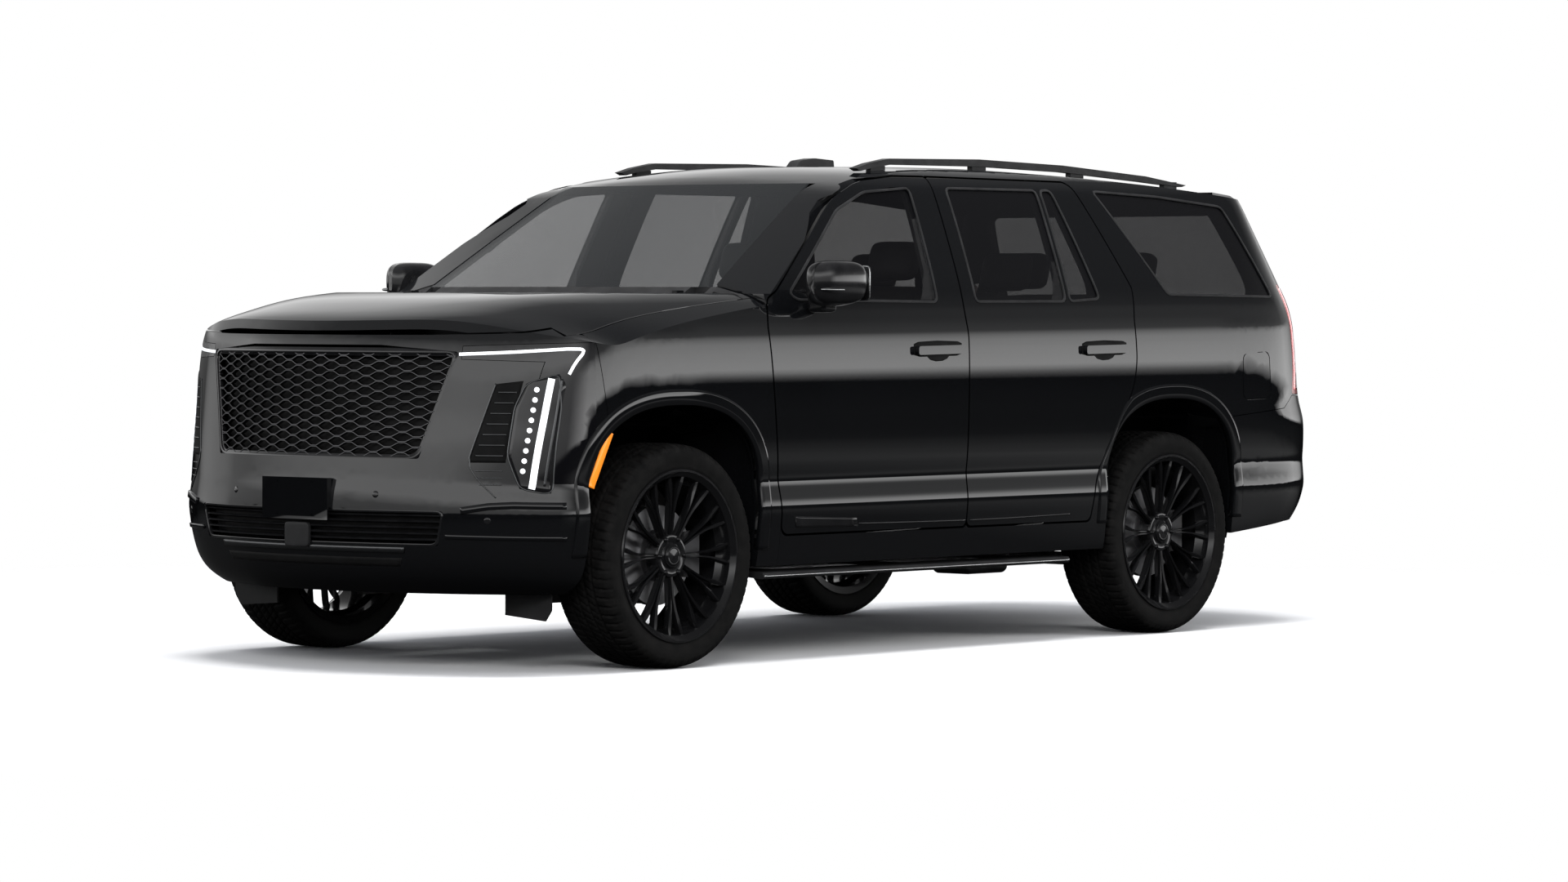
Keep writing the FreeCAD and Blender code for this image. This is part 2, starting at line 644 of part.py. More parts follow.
def make_body_side(forms):
    """A left body side: pillars, rocker and quarter panel in one, with the rear wheel's liner."""
    side = forms["outer"].cut(forms["cabin"])
    side = side.common(box(655, 1100, FRONT_DOOR_EDGE - 5, TAIL, ROCKER_BOTTOM, 2000))
    side = side.cut(box(600, 850, FRONT_DOOR_EDGE - 20, TAIL, ROCKER_BOTTOM - 10, FLOOR_TOP))
    ahead_of_door = [(FRONT_DOOR_EDGE - 90, 1600), (FRONT_DOOR_EDGE - 90, 300)]
    fender_room = side_prism(fender_rear_edge(1.0) + ahead_of_door, 0)
    top_room = box(600, 1100, FRONT_DOOR_EDGE - 90, FRONT_DOOR_EDGE - SHUT_GAP + 13, 1290, 1520)
    side = side.cut([fender_room.cut(forms["panel_back"]), top_room])
    doors = ((FRONT_DOOR, FRONT_DOOR_RADII), (REAR_DOOR, REAR_DOOR_RADII))
    openings = [side_prism(offset_outline(line, SHUT_GAP), radii) for line, radii in doors]
    inner = [
        side_prism(offset_outline(line, -BODY_WALL), [max(8.0, r - BODY_WALL) for r in radii])
        for line, radii in doors
    ]
    side = side.cut(openings[0].fuse(openings[1]).cut(forms["seal_line"]))
    side = side.cut(inner + [rear_prism(windshield_outline(0), 0, NOSE, -300)])
    side = side.cut(side_prism(QUARTER_WINDOW, QUARTER_RADII))
    side = side.cut(arch_prism(*REAR_ARCH, 0, 400, 1300))
    side = side.cut(side_prism(offset_outline(rear_bumper_outline(), SEAM), 0, 400, 1200))
    side = side.cut(tailgate_prism(SHUT_GAP))
    side = side.cut(side_prism(offset_outline(TAIL_LAMP, 1), 14, TAILGATE_HALF_WIDTH - 20, 1300))
    liner = wheel_liner(REAR_ARCH, REAR_LINER_GROW, LINER_INNER_X, 1010, 620, forms)
    bumper_room = side_prism(offset_outline(rear_bumper_outline(), 1), 0, 400, 1200).cut(forms["panel_back"])
    liner = liner.common(box(400, 1100, 800, TAIL, 380, 1300)).cut([openings[1], bumper_room])
    brackets = [
        hinge_bracket(y, z) for y in (FRONT_DOOR_HINGE_Y, REAR_DOOR_HINGE_Y) for z in HINGE_HEIGHTS
    ]
    return biggest(side.fuse([liner] + brackets))


def fuel_door_groove(forms):
    """The narrow groove round the fuel door, cut into the left side's skin."""
    half = GROOVE_WIDTH / 2
    ring = side_prism(offset_outline(FUEL_DOOR, half), 34)
    ring = ring.cut(side_prism(offset_outline(FUEL_DOOR, -half), 30))
    return ring.cut(forms["skin_inner"])


def rear_bumper_outline():
    """The rear bumper's region in the side view, behind the wheel and under the tailgate."""
    return [
        (REAR_AXLE + 380, 200),
        (REAR_AXLE + 380, 890),
        (TAIL - 479, 924),
        (TAIL - 394, TAILGATE_BOTTOM - SHUT_GAP),
        (TAIL + 100, TAILGATE_BOTTOM - SHUT_GAP),
        (TAIL + 100, 200),
    ]


TAIL_LAMP = [
    (TAIL - 392, 986),
    (TAIL - 372, 1100),
    (TAIL - 380, 1300),
    (TAIL - 440, 1452),
    (TAIL, 1470),
    (TAIL, 986),
]


def tailgate_prism(grow):
    """The tailgate's outline in the rear view as a prism, behind its top shut line."""
    half = TAILGATE_HALF_WIDTH + grow
    low = TAILGATE_BOTTOM - grow
    outline = [(-half, low), (-half, 1400), (-half + 122, 1790), (-half + 172, 1990)]
    outline += [(half - 172, 1990), (half - 122, 1790), (half, 1400), (half, low)]
    prism = rear_prism(outline, [30, 200, 60, 0, 0, 60, 200, 30], TAIL - 900, TAIL + 100)
    top = TAIL - 525 - grow
    ahead_of_lid = [(TAIL - 950, 900), (TAIL - 560, 900), (TAIL - 560, 1700)]
    ahead_of_lid += [(top, 1800), (top, 2100), (TAIL - 950, 2100)]
    return prism.cut(side_prism(ahead_of_lid, 0, -1200, 1200))


TAILGATE_WINDOW = [(-715, 1330), (-640, 1752), (640, 1752), (715, 1330)]


def make_tailgate(forms):
    """The tailgate: a thick lower panel, a window frame and a roof spoiler.

    Behind its outer flange the edge steps inwards, so that it clears the pillars as it swings up.
    """
    gate = forms["outer"].common(tailgate_prism(0)).cut(forms["lid_hollow"])
    behind_flange = moved(forms["outer"], 0, -TAILGATE_FLANGE, 0)
    gate = gate.cut(tailgate_prism(0).cut(tailgate_prism(-TAILGATE_STEP)).common(behind_flange))
    gate = gate.cut(rear_prism(TAILGATE_WINDOW, 40, TAIL - 700, TAIL + 100))
    gate = biggest(gate)
    lip = [(TAIL - 500, 1836), (TAIL - 505, 1850), (TAIL - 372, 1838)]
    lip += [(TAIL - 322, 1818), (TAIL - 330, 1796), (TAIL - 400, 1790)]
    spoiler = side_prism(lip, [0, 0, 60, 6, 6, 30], -640, 640)
    gate = gate.fuse(spoiler)
    for side in (-1, 1):
        x = side * TAILGATE_HINGE_X
        leaf = box(x - 20, x + 20, TAILGATE_HINGE_Y, TAIL - 480, TAILGATE_HINGE_Z - 7, TAILGATE_HINGE_Z + 5)
        eye = cylinder(9, (x - 20, TAILGATE_HINGE_Y, TAILGATE_HINGE_Z), (1, 0, 0), 40)
        start = (x - 40, TAILGATE_HINGE_Y, TAILGATE_HINGE_Z)
        bore = cylinder(TAILGATE_PIN_RADIUS + BEARING_CLEARANCE, start, (1, 0, 0), 80)
        gate = gate.fuse(leaf.fuse(eye).cut(bore))
    return biggest(gate)


def make_roof(forms):
    """The roof panel with its headers and the tailgate's hinge pins."""
    roof = forms["outer"].cut(forms["cabin"])
    roof = roof.common(box(-655, 655, -700, TAIL, 1735, 2000))
    roof = roof.cut(rear_prism(windshield_outline(0), 0, NOSE, -300))
    roof = roof.cut(tailgate_prism(SHUT_GAP))
    roof = roof.cut(box(-700, 700, TAIL - 560, TAIL, 1600, 1800))
    roof = biggest(roof)
    for side in (-1, 1):
        x = side * TAILGATE_HINGE_X
        z = TAILGATE_HINGE_Z
        pocket = box(x - 44, x + 44, TAILGATE_HINGE_Y - 15, TAIL - 500, z - 70, z + 10)
        roof = roof.cut(pocket)
        start = (x - 48, TAILGATE_HINGE_Y, TAILGATE_HINGE_Z)
        pin = cylinder(TAILGATE_PIN_RADIUS, start, (1, 0, 0), 96)
        roof = roof.fuse(pin)
    return biggest(roof)


def make_rear_bumper(forms):
    """The rear bumper cover, open at the wheels and swept up at its foot."""
    bumper = forms["outer"].cut(forms["panel_inner"])
    bumper = bumper.common(side_prism(rear_bumper_outline(), 0, -1200, 1200))
    arch = arch_prism(*REAR_ARCH, 0, 400, 1300)
    bumper = bumper.cut([arch, mirrored(arch)])
    sweep = [(TAIL - 1400, 200), (TAIL - 1400, 394), (TAIL - 960, 394), (TAIL - 420, 440)]
    sweep += [(TAIL + 50, 455), (TAIL + 50, 200)]
    return biggest(bumper.cut(side_prism(sweep, 0, -1200, 1200)))


GRILLE = [(-640, 1176), (-520, 786), (520, 786), (640, 1176), (330, 1200), (-330, 1200)]
LOWER_GRILLE = [(-631, 598), (-600, 470), (600, 470), (631, 598)]
HEADLAMP = [
    (650, 1150),
    (650, 1196),
    (1040, 1212),
    (1040, 700),
    (905, 700),
    (868, 800),
    (880, 1000),
    (905, 1142),
]


def lamp_prism(grow):
    """A headlamp's outline in the front view as a prism."""
    return rear_prism(offset_outline(HEADLAMP, grow), 0, NOSE - 50, NOSE + 545)


def front_bumper_outline(grow):
    """The front bumper's region in the side view, up to the hood and back to the fender."""
    lower = [(NOSE + 575 + grow, SILL_BOTTOM - 50), (NOSE - 100, SILL_BOTTOM - 50), (NOSE - 100, 1232)]
    line = [(NOSE + 190, 1237), (NOSE + 340, 1245), (NOSE + 455, 1260), (NOSE + 541 + grow, 1264)]
    return lower + line + [(y - SEAM + grow, z) for y, z in FENDER_SPLIT[1:]]


def make_front_bumper(forms):
    """The front bumper cover, open at its grilles and lamps."""
    bumper = forms["outer"].cut(forms["panel_inner"])
    bumper = bumper.common(side_prism(front_bumper_outline(0.0), 0, -1200, 1200))
    bumper = bumper.cut(rear_prism(GRILLE, 12, NOSE - 100, NOSE + 300))
    bumper = bumper.cut(rear_prism(LOWER_GRILLE, 12, NOSE - 100, NOSE + 300))
    lamp, arch = lamp_prism(2.0), arch_prism(*FRONT_ARCH, 0, 400, 1300)
    hood_room = box(-HOOD_HALF_WIDTH - 6, HOOD_HALF_WIDTH + 6, NOSE + 450, NOSE + 900, 1150, 1600)
    bumper = biggest(bumper.cut([lamp, mirrored(lamp), arch, mirrored(arch), hood_room]))
    y, z = NOSE, PLATE_HEIGHT
    plate = box(-170, 170, y, y + 8, z - 77, z + 77).fuse(box(-170, 170, y, y + 22, z - 32, z + 77))
    holes = [
        cylinder(PLATE_HOLE, (sx * PLATE_SPACING_X / 2, y - 1, z + sz * PLATE_SPACING_Z / 2), (0, 1, 0), 13)
        for sx in (-1, 1)
        for sz in (-1, 1)
    ]
    return biggest(bumper.fuse(plate).cut(holes))


def make_headlamp(forms):
    """A left headlamp, a piece of the nose's shell below the hood's line."""
    lamp = forms["outer"].cut(forms["panel_inner"]).common(lamp_prism(0.0))
    above_line = [(NOSE - 100, 1230), (NOSE + 190, 1235), (NOSE + 340, 1243), (NOSE + 600, 1262)]
    above_line += [(NOSE + 600, 1500), (NOSE - 100, 1500)]
    return biggest(lamp.cut(side_prism(above_line, 0, 400, 1200)))


def nose_back(z):
    """How far the nose stands behind the foremost point, at a height."""
    for low, high in zip(BODY_LEVELS, BODY_LEVELS[1:]):
        if z <= high[0]:
            return low[2] + (high[2] - low[2]) * (z - low[0]) / (high[0] - low[0])
    return BODY_LEVELS[-1][2]


def nose_y(x, z, depth):
    """A point on the nose, at a depth behind its surface."""
    return NOSE + nose_back(z) + depth + 118.0 * (abs(x) / 628.0) ** 2.2


def nose_bar(half_width, z0, z1, depth0, depth1):
    """A level bar that follows the nose from side to side."""
    xs = [half_width * i / 4 for i in range(-4, 5)]
    z = (z0 + z1) / 2
    front, back = Part.BSplineCurve(), Part.BSplineCurve()
    front.interpolate([Vector(x, nose_y(x, z, depth0), z0) for x in xs])
    back.interpolate([Vector(x, nose_y(x, z, depth1), z0) for x in reversed(xs)])
    ends = [(front.EndPoint, back.StartPoint), (back.EndPoint, front.StartPoint)]
    sides = [Part.LineSegment(a, b).toShape() for a, b in ends]
    wire = Part.Wire([front.toShape(), sides[0], back.toShape(), sides[1]])
    return Part.Face(wire).extrude(Vector(0, 0, z1 - z0))


def grille_unit(outline, rows, columns, frame_width, thickness):
    """A frame with level bars and thin uprights behind them."""
    (low, high) = min(z for _, z in outline), max(z for _, z in outline)
    widest = max(x for x, _ in outline)
    opening = rear_prism(outline, 12, NOSE - 100, NOSE + 400)
    pitch = (high - low) / rows
    bars = [
        nose_bar(widest, low + pitch * (i + 0.36), low + pitch * (i + 0.64), 10, 30) for i in range(rows)
    ]
    uprights = []
    for i in range(columns):
        x = -widest + 2 * widest * (i + 0.5) / columns
        y = nose_y(x, (low + high) / 2, 0)
        lean = nose_back(high) - nose_back(low)
        points = [(y + 18 - lean / 2, low), (y + 30 - lean / 2, low)]
        points += [(y + 30 + lean / 2, high), (y + 18 + lean / 2, high)]
        uprights.append(side_prism(points, 0, x - thickness / 2, x + thickness / 2))
    edge = opening.cut(rear_prism(offset_outline(outline, -frame_width), 4, NOSE - 100, NOSE + 400))
    count = 6
    tall = (high - low) / count
    rim = [nose_bar(widest + 20, low + tall * i, low + tall * (i + 1), 6, 32) for i in range(count)]
    rim = rim[0].fuse(rim[1:]).common(edge)
    inside = bars[0].fuse(bars[1:] + uprights).common(opening)
    return biggest(rim.fuse(inside))


def make_grille():
    """The main grille and the lower grille, each a framed set of bars."""
    upper = grille_unit(GRILLE, 13, 13, 14, 8)
    lower = grille_unit(LOWER_GRILLE, 5, 11, 8, 8)
    return Part.makeCompound([upper, lower])


def make_windshield(forms):
    """The windshield, set a little inside its frame."""
    thick_y = 12.5
    pane = moved(forms["ahead"], 0, 5 + thick_y, 0).cut(moved(forms["ahead"], 0, 5, 0))
    pane = pane.common(rear_prism(windshield_outline(0), 0, NOSE, -300))
    return biggest(pane.common(box(-1000, 1000, NOSE, 0, WINDSHIELD_BASE_HEIGHT, 1900)))


def make_tail_lamp(forms):
    """The left tail lamp, which wraps the rear corner and stays clear of the tailgate."""
    lamp = forms["outer"].cut(forms["panel_inner"])
    lamp = lamp.common(side_prism(TAIL_LAMP, 14, TAILGATE_HALF_WIDTH + SHUT_GAP + 1, 1300))
    return biggest(lamp.cut(tailgate_prism(SHUT_GAP + 1)))


def tyre_profile(centre_x):
    """Half a tyre's section, from its inner bead round the tread to its outer bead."""
    half = TYRE_WIDTH / 2
    r = TYRE_RADIUS
    rows = [
        (-RIM_WIDTH / 2 + 9, BEAD_RADIUS),
        (-RIM_WIDTH / 2 + 9, BEAD_RADIUS + 18),
        (-half, r - 62),
        (-half + 8, r - 26),
        (-half + 24, r - 6),
        (-half + 60, r - 1),
        (0, r),
    ]
    rows += [(-a, b) for a, b in reversed(rows[:-1])]
    return [(centre_x + a, b) for a, b in rows]


def revolve_x(points, y, z):
    """A closed outline of (x, radius) turned about a line along X."""
    pts = [Vector(x, y, z + r) for x, r in points]
    wire = Part.makePolygon(pts + [pts[0]])
    return Part.Face(wire).revolve(Vector(0, y, z), Vector(1, 0, 0), 360)


def make_tyre(axle):
    """A left tyre: a smooth crown, shoulders and sidewalls round a hollow inside."""
    c, z = TRACK / 2, TYRE_RADIUS
    outer = [Vector(x, axle, z + r) for x, r in tyre_profile(c)]
    inner_gap = [(-RIM_WIDTH / 2 + 27, BEAD_RADIUS), (-TYRE_WIDTH / 2 + 22, TYRE_RADIUS - 60)]
    inner_gap += [(-TYRE_WIDTH / 2 + 30, TYRE_RADIUS - 22), (0, TYRE_RADIUS - 16)]
    inner = [Vector(c + a, axle, z + r) for a, r in inner_gap]
    inner += [Vector(c - a, axle, z + r) for a, r in reversed(inner_gap[:-1])]
    edges = []
    side_in = Part.BSplineCurve()
    side_in.interpolate(outer[1:6])
    side_out = Part.BSplineCurve()
    side_out.interpolate(outer[7:12])
    edges.append(Part.LineSegment(outer[0], outer[1]).toShape())
    edges.append(side_in.toShape())
    edges.append(Part.Arc(outer[5], outer[6], outer[7]).toShape())
    edges.append(side_out.toShape())
    edges.append(Part.LineSegment(outer[11], outer[12]).toShape())
    edges.append(Part.LineSegment(outer[12], inner[-1]).toShape())
    hollow = Part.BSplineCurve()
    hollow.interpolate(list(reversed(inner)))
    edges.append(hollow.toShape())
    edges.append(Part.LineSegment(inner[0], outer[0]).toShape())
    return Part.Face(Part.Wire(edges)).revolve(Vector(0, axle, z), Vector(1, 0, 0), 360)


SPOKE_FACE = ((HUB_RADIUS, 92), (150, 96), (240, 110), (RIM_FLANGE_RADIUS - 22, 118))


def spoke(axle, angle):
    """One spoke: slim at the hub, forked at the rim, on a dished face."""
    outline = [
        (-9, HUB_RADIUS - 12),
        (9, HUB_RADIUS - 12),
        (13, 190),
        (34, 262),
        (38, RIM_FLANGE_RADIUS - 14),
        (22, RIM_FLANGE_RADIUS - 14),
        (4, 236),
        (-4, 236),
        (-22, RIM_FLANGE_RADIUS - 14),
        (-38, RIM_FLANGE_RADIUS - 14),
        (-34, 262),
        (-13, 190),
    ]
    c, s = math.cos(angle), math.sin(angle)
    x0 = TRACK / 2 + 40
    wire = rounded_wire(
        outline, 3, lambda a, r: Vector(x0, axle + a * c + r * s, TYRE_RADIUS - a * s + r * c)
    )
    return Part.Face(wire).extrude(Vector(140, 0, 0))


def make_rim(axle):
    """A left wheel with its barrel, dished spokes and hub, and the brake disc behind it."""
    c, z = TRACK / 2, TYRE_RADIUS
    half, bead, flange = RIM_WIDTH / 2, BEAD_RADIUS, RIM_FLANGE_RADIUS
    barrel = [
        (-half - 2, flange),
        (-half + 8, flange),
        (-half + 8, bead - 0.2),
        (-half + 40, bead - 0.2),
        (-half + 62, bead - 18),
        (half - 62, bead - 18),
        (half - 40, bead - 0.2),
        (half - 8, bead - 0.2),
        (half - 8, flange),
        (half + 2, flange),
        (half + 2, flange - 12),
        (half - 8, bead - RIM_WALL),
        (half - 40, bead - RIM_WALL),
        (half - 66, bead - 18 - RIM_WALL),
        (-half + 66, bead - 18 - RIM_WALL),
        (-half + 40, bead - RIM_WALL),
        (-half + 4, bead - RIM_WALL),
    ]
    rim = revolve_x([(c + x, r) for x, r in barrel], axle, z)
    face = [(c + x, r) for r, x in SPOKE_FACE]
    back = [(c + x - 30 - (8 if r < 200 else 0), r) for r, x in reversed(SPOKE_FACE)]
    dish = revolve_x(face + back, axle, z)
    spokes = Part.makeCompound([spoke(axle, 2 * math.pi * i / SPOKE_COUNT) for i in range(SPOKE_COUNT)])
    spokes = dish.common(spokes)
    bore = SPINDLE_RADIUS + BEARING_CLEARANCE
    hub = [(c + 40, bore), (c + 40, HUB_RADIUS + 4), (c + 88, HUB_RADIUS + 4)]
    hub += [(c + 92, HUB_RADIUS - 6), (c + 86, 44), (c + 98, 42), (c + 98, bore)]
    hub = revolve_x(hub, axle, z)
    rim = rim.fuse([hub] + spokes.Solids)
    for i in range(STUD_COUNT):
        a = 2 * math.pi * (i + 0.5) / STUD_COUNT
        stud = (c + 70, axle + STUD_CIRCLE / 2 * math.sin(a), z + STUD_CIRCLE / 2 * math.cos(a))
        rim = rim.fuse(cylinder(NUT_RADIUS, stud, (1, 0, 0), 30))
    disc0, disc1 = c + DISC_OFFSET, c + DISC_OFFSET + DISC_THICKNESS
    disc = [(disc0, bore), (disc0, DISC_RADIUS), (disc1, DISC_RADIUS)]
    disc += [(disc1, 96), (c + 40, 92), (c + 40, bore)]
    return biggest(rim.fuse(revolve_x(disc, axle, z)))


def make_upright(axle, steered):
    """A left knuckle or rear hub carrier, with its spindle, pin bores and brake caliper."""
    c, z = TRACK / 2, TYRE_RADIUS
    kx = c - KINGPIN_FROM_WHEEL_CENTRE
    post = box(kx - 34, kx + 30, axle - 42, axle + 42, z - 150, z + 150)
    spindle = cylinder(SPINDLE_RADIUS, (kx, axle, z), (1, 0, 0), c + 94 - kx)
    caliper = box(c - 42, c + 48, axle + 118, axle + 205, z - 85, z + 85)
    disc0, disc1 = c + DISC_OFFSET - RUNNING_GAP, c + DISC_OFFSET + DISC_THICKNESS + RUNNING_GAP
    slot = box(disc0, disc1, axle + 60, axle + DISC_RADIUS + RUNNING_GAP, z - 120, z + 120)
    arm = box(kx - 34, c - 25, axle + 30, axle + 130, z - 40, z + 40)
    upright = post.fuse([spindle, caliper.cut(slot), arm])
    if steered:
        for zc in (z - 160, z + 110):
            upright = upright.cut(cylinder(KINGPIN_RADIUS + BEARING_CLEARANCE, (kx, axle, zc), (0, 0, 1), 50))
    return biggest(upright)


def suspension_arm(axle, z, pin_up):
    """A left control arm from the frame rail to the kingpin."""
    kx = TRACK / 2 - KINGPIN_FROM_WHEEL_CENTRE
    legs = []
    for side in (-1, 1):
        root = [(FRAME_OUTER_X, axle + side * 190), (FRAME_OUTER_X, axle + side * 140)]
        end = [(kx - 20, axle - side * 22), (kx - 20, axle + side * 22)]
        legs.append(plan_prism(root + end, 0, z, z + 26))
    tip = cylinder(26, (kx, axle, z), (0, 0, 1), 26).fuse(box(kx - 30, kx, axle - 22, axle + 22, z, z + 26))
    foot = z if pin_up else z - 34
    pin = cylinder(KINGPIN_RADIUS, (kx, axle, foot), (0, 0, 1), 60)
    return legs[0].fuse([legs[1], tip, pin])


def make_chassis_frame():
    """The ladder frame: two side rails, cross members, bumper beams and front control arms."""
    z0, z1 = RAIL_BOTTOM, RAIL_BOTTOM + RAIL_HEIGHT
    x0, x1 = FRAME_OUTER_X - RAIL_WIDTH, FRAME_OUTER_X
    profile = [
        (NOSE + 275, z0 + 100),
        (FRONT_AXLE - 300, z0 + 100),
        (FRONT_AXLE + 420, z0),
        (REAR_AXLE - FLOOR_STEP_AHEAD + FLOOR_THICKNESS + 2, z0),
        (REAR_AXLE - 300, z0 + 190),
        (REAR_AXLE + 330, z0 + 190),
        (REAR_AXLE + 560, z0 + 110),
        (TAIL - 280, z0 + 110),
    ]
    upper = [(y, z + RAIL_HEIGHT) for y, z in reversed(profile)]
    rail = side_prism(profile + upper, 0, x0, x1)
    frame = rail.fuse(mirrored(rail))
    for y, z in ((FRONT_AXLE - 330, z0 + 110), (FRONT_AXLE + 470, z0 + 8), (-300, z0 + 8), (420, z0 + 8)):
        frame = frame.fuse(box(-x0 - 20, x0 + 20, y - 35, y + 35, z, z + 80))
    for y, z in ((REAR_AXLE - 380, z0 + 190), (REAR_AXLE + 380, z0 + 180)):
        frame = frame.fuse(box(-x0 - 20, x0 + 20, y - 30, y + 30, z, z + 80))
    floor_low, floor_high = FLOOR_TOP - FLOOR_THICKNESS, FLOOR_TOP + FLOOR_STEP_UP
    mounts = [(y, z1, floor_low) for y in (FRONT_AXLE + 560, -500, 300)]
    mounts += [(y, z1 + 190, floor_high) for y in (REAR_AXLE - 250, REAR_AXLE + 250)]
    for y, low, high in mounts:
        post = cylinder(32, (x0 + RAIL_WIDTH / 2, y, low), (0, 0, 1), high - low)
        frame = frame.fuse([post, mirrored(post)])
    beam = box(-560, 560, NOSE + 215, NOSE + 276, 445, 560)
    rear_beam = box(-600, 600, TAIL - 290, TAIL - 225, 450, 570)
    frame = frame.fuse([beam, rear_beam])
    kz = TYRE_RADIUS
    for arm in (suspension_arm(FRONT_AXLE, kz - 182, True), suspension_arm(FRONT_AXLE, kz + 158, False)):
        frame = frame.fuse([arm, mirrored(arm)])
    y = FRONT_AXLE
    bracket = box(x1 - 30, x1 + 4, y - 200, y + 200, z0 - 100, z0 + 270)
    frame = frame.fuse([bracket, mirrored(bracket)])
    return biggest(frame)


def make_rear_axle():
    """The rear suspension: subframe, final drive, half shafts, links and hub carriers."""
    z = TYRE_RADIUS
    c = TRACK / 2
    carrier = make_upright(REAR_AXLE, False)
    kx = c - KINGPIN_FROM_WHEEL_CENTRE
    shaft = cylinder(20, (100, REAR_AXLE, z), (1, 0, 0), kx - 100)
    lower = box(150, kx, REAR_AXLE - 60, REAR_AXLE + 60, z - 150, z - 122)
    upper = box(FRAME_OUTER_X - 60, kx, REAR_AXLE - 25, REAR_AXLE + 25, z + 78, z + 98)
    half = carrier.fuse([shaft, lower, upper])
    drive = cylinder(120, (-130, REAR_AXLE, z), (1, 0, 0), 260)
    cradle = box(-380, 380, REAR_AXLE - 90, REAR_AXLE + 90, z - 150, z - 110)
    x0, x1, y, top = FRAME_OUTER_X - 60, FRAME_OUTER_X - 10, REAR_AXLE, RAIL_BOTTOM + 190
    hanger = box(x0, x1, y - 40, y + 40, z + 60, top)
    hanger = hanger.fuse(box(150, x1, y - 40, y + 40, z - 122, z - 100))
    post = box(x0, x1, y + 25, y + 60, z - 122, top)
    axle = half.fuse([mirrored(half), drive, cradle, hanger, mirrored(hanger), post, mirrored(post)])
    return biggest(axle)


def make_floor(forms):
    """The floor pan, cut round the wheel liners, and the load floor over the rear axle."""
    inside = body_solid(lambda z: door_depth(z) + BODY_WALL + 2)
    step_y = REAR_AXLE - FLOOR_STEP_AHEAD
    low, high = FLOOR_TOP - FLOOR_THICKNESS, FLOOR_TOP + FLOOR_STEP_UP
    front = box(-849.7, 849.7, WINDSHIELD_BASE + 34, step_y + FLOOR_THICKNESS, low, FLOOR_TOP)
    step = box(-849.7, 849.7, step_y, step_y + FLOOR_THICKNESS, low, high)
    rear = box(-849.7, 849.7, step_y, TAIL - 260, high, high + FLOOR_THICKNESS)
    floor = front.fuse([step, rear]).common(inside)
    grow = REAR_LINER_GROW + LINER_WALL
    arch = arch_prism(*REAR_ARCH, grow, LINER_INNER_X - LINER_WALL, 1200, 100)
    floor = floor.cut([arch, mirrored(arch)])
    front_arch = arch_prism(*FRONT_ARCH, 34, 400, 1200, 100)
    return biggest(floor.cut([front_arch, mirrored(front_arch)]))


def make_firewall(forms):
    """The firewall and the cowl panel below the windshield, lowered where the hood's corners swing."""
    y = WINDSHIELD_BASE
    wall = box(-FRAME_OUTER_X - 14, FRAME_OUTER_X + 14, y + 12, y + 30, FLOOR_TOP - FLOOR_THICKNESS, 1372)
    wall = wall.fuse(box(-652, 652, y + 12, y + 30, ARCH_TOP_FRONT + 40, 1372))
    plan = hood_rear_edge(SHUT_GAP)
    plan = plan + [(HOOD_HALF_WIDTH, FRONT_DOOR_EDGE - 10), (-HOOD_HALF_WIDTH, FRONT_DOOR_EDGE - 10)]
    cowl = forms["outer"].common(plan_prism(plan, 0, 1366, WINDSHIELD_BASE_HEIGHT))
    slots = []
    for x in (-HOOD_HINGE_X, HOOD_HINGE_X):
        slots.append(box(x - 40, x + 40, HOOD_HINGE_Y - 200, HOOD_HINGE_Y + 18, 1300, 1500))
    edge = plan[0][1]
    low, last = COWL_TOP - COWL_CORNER_DROP, edge + COWL_CORNER_ROOM
    corner = box(COWL_CORNER_X, HOOD_HALF_WIDTH + SHUT_GAP, edge - 20, last, low, WINDSHIELD_BASE_HEIGHT)
    wall = wall.fuse(biggest(cowl)).cut(slots + [corner, mirrored(corner)])
    starts = [(x - 42, HOOD_HINGE_Y, HOOD_HINGE_Z) for x in (-HOOD_HINGE_X, HOOD_HINGE_X)]
    pins = [cylinder(HOOD_PIN_RADIUS, start, (1, 0, 0), 84) for start in starts]
    return biggest(wall.fuse(pins))


def rounded_box(x0, x1, y0, y1, z0, z1, radius):
    """A box with every edge rounded."""
    shape = box(x0, x1, y0, y1, z0, z1)
    return shape.makeFillet(radius, shape.Edges)


def make_seat(x, y, width, recline=16.0, base=FLOOR_TOP, cushion_top=800.0, back_height=620.0):
    """A seat facing forwards: base, cushion, reclined back and head restraint."""
    half = width / 2
    frame = box(x - half + 60, x + half - 60, y - 190, y + 190, base, cushion_top - 150)
    cushion = rounded_box(x - half, x + half, y - 260, y + 250, cushion_top - 155, cushion_top, 45)
    back = rounded_box(x - half, x + half, y + 200, y + 330, cushion_top - 100, cushion_top + back_height, 45)
    top = cushion_top + back_height
    head = rounded_box(x - 130, x + 130, y + 215, y + 310, top + 20, top + 190, 40)
    posts = [cylinder(7, (x + s * 60, y + 262, top - 30), (0, 0, 1), 80) for s in (-1, 1)]
    upper = back.fuse([head] + posts)
    upper.rotate(Vector(x, y + 250, cushion_top - 60), Vector(1, 0, 0), -recline)
    return biggest(frame.fuse([cushion, upper]))


STEERING_WHEEL = Vector(400.0, WINDSHIELD_BASE + 590, 1165.0)
COLUMN_TILT = 24.0
COLUMN_RADIUS = 32.0


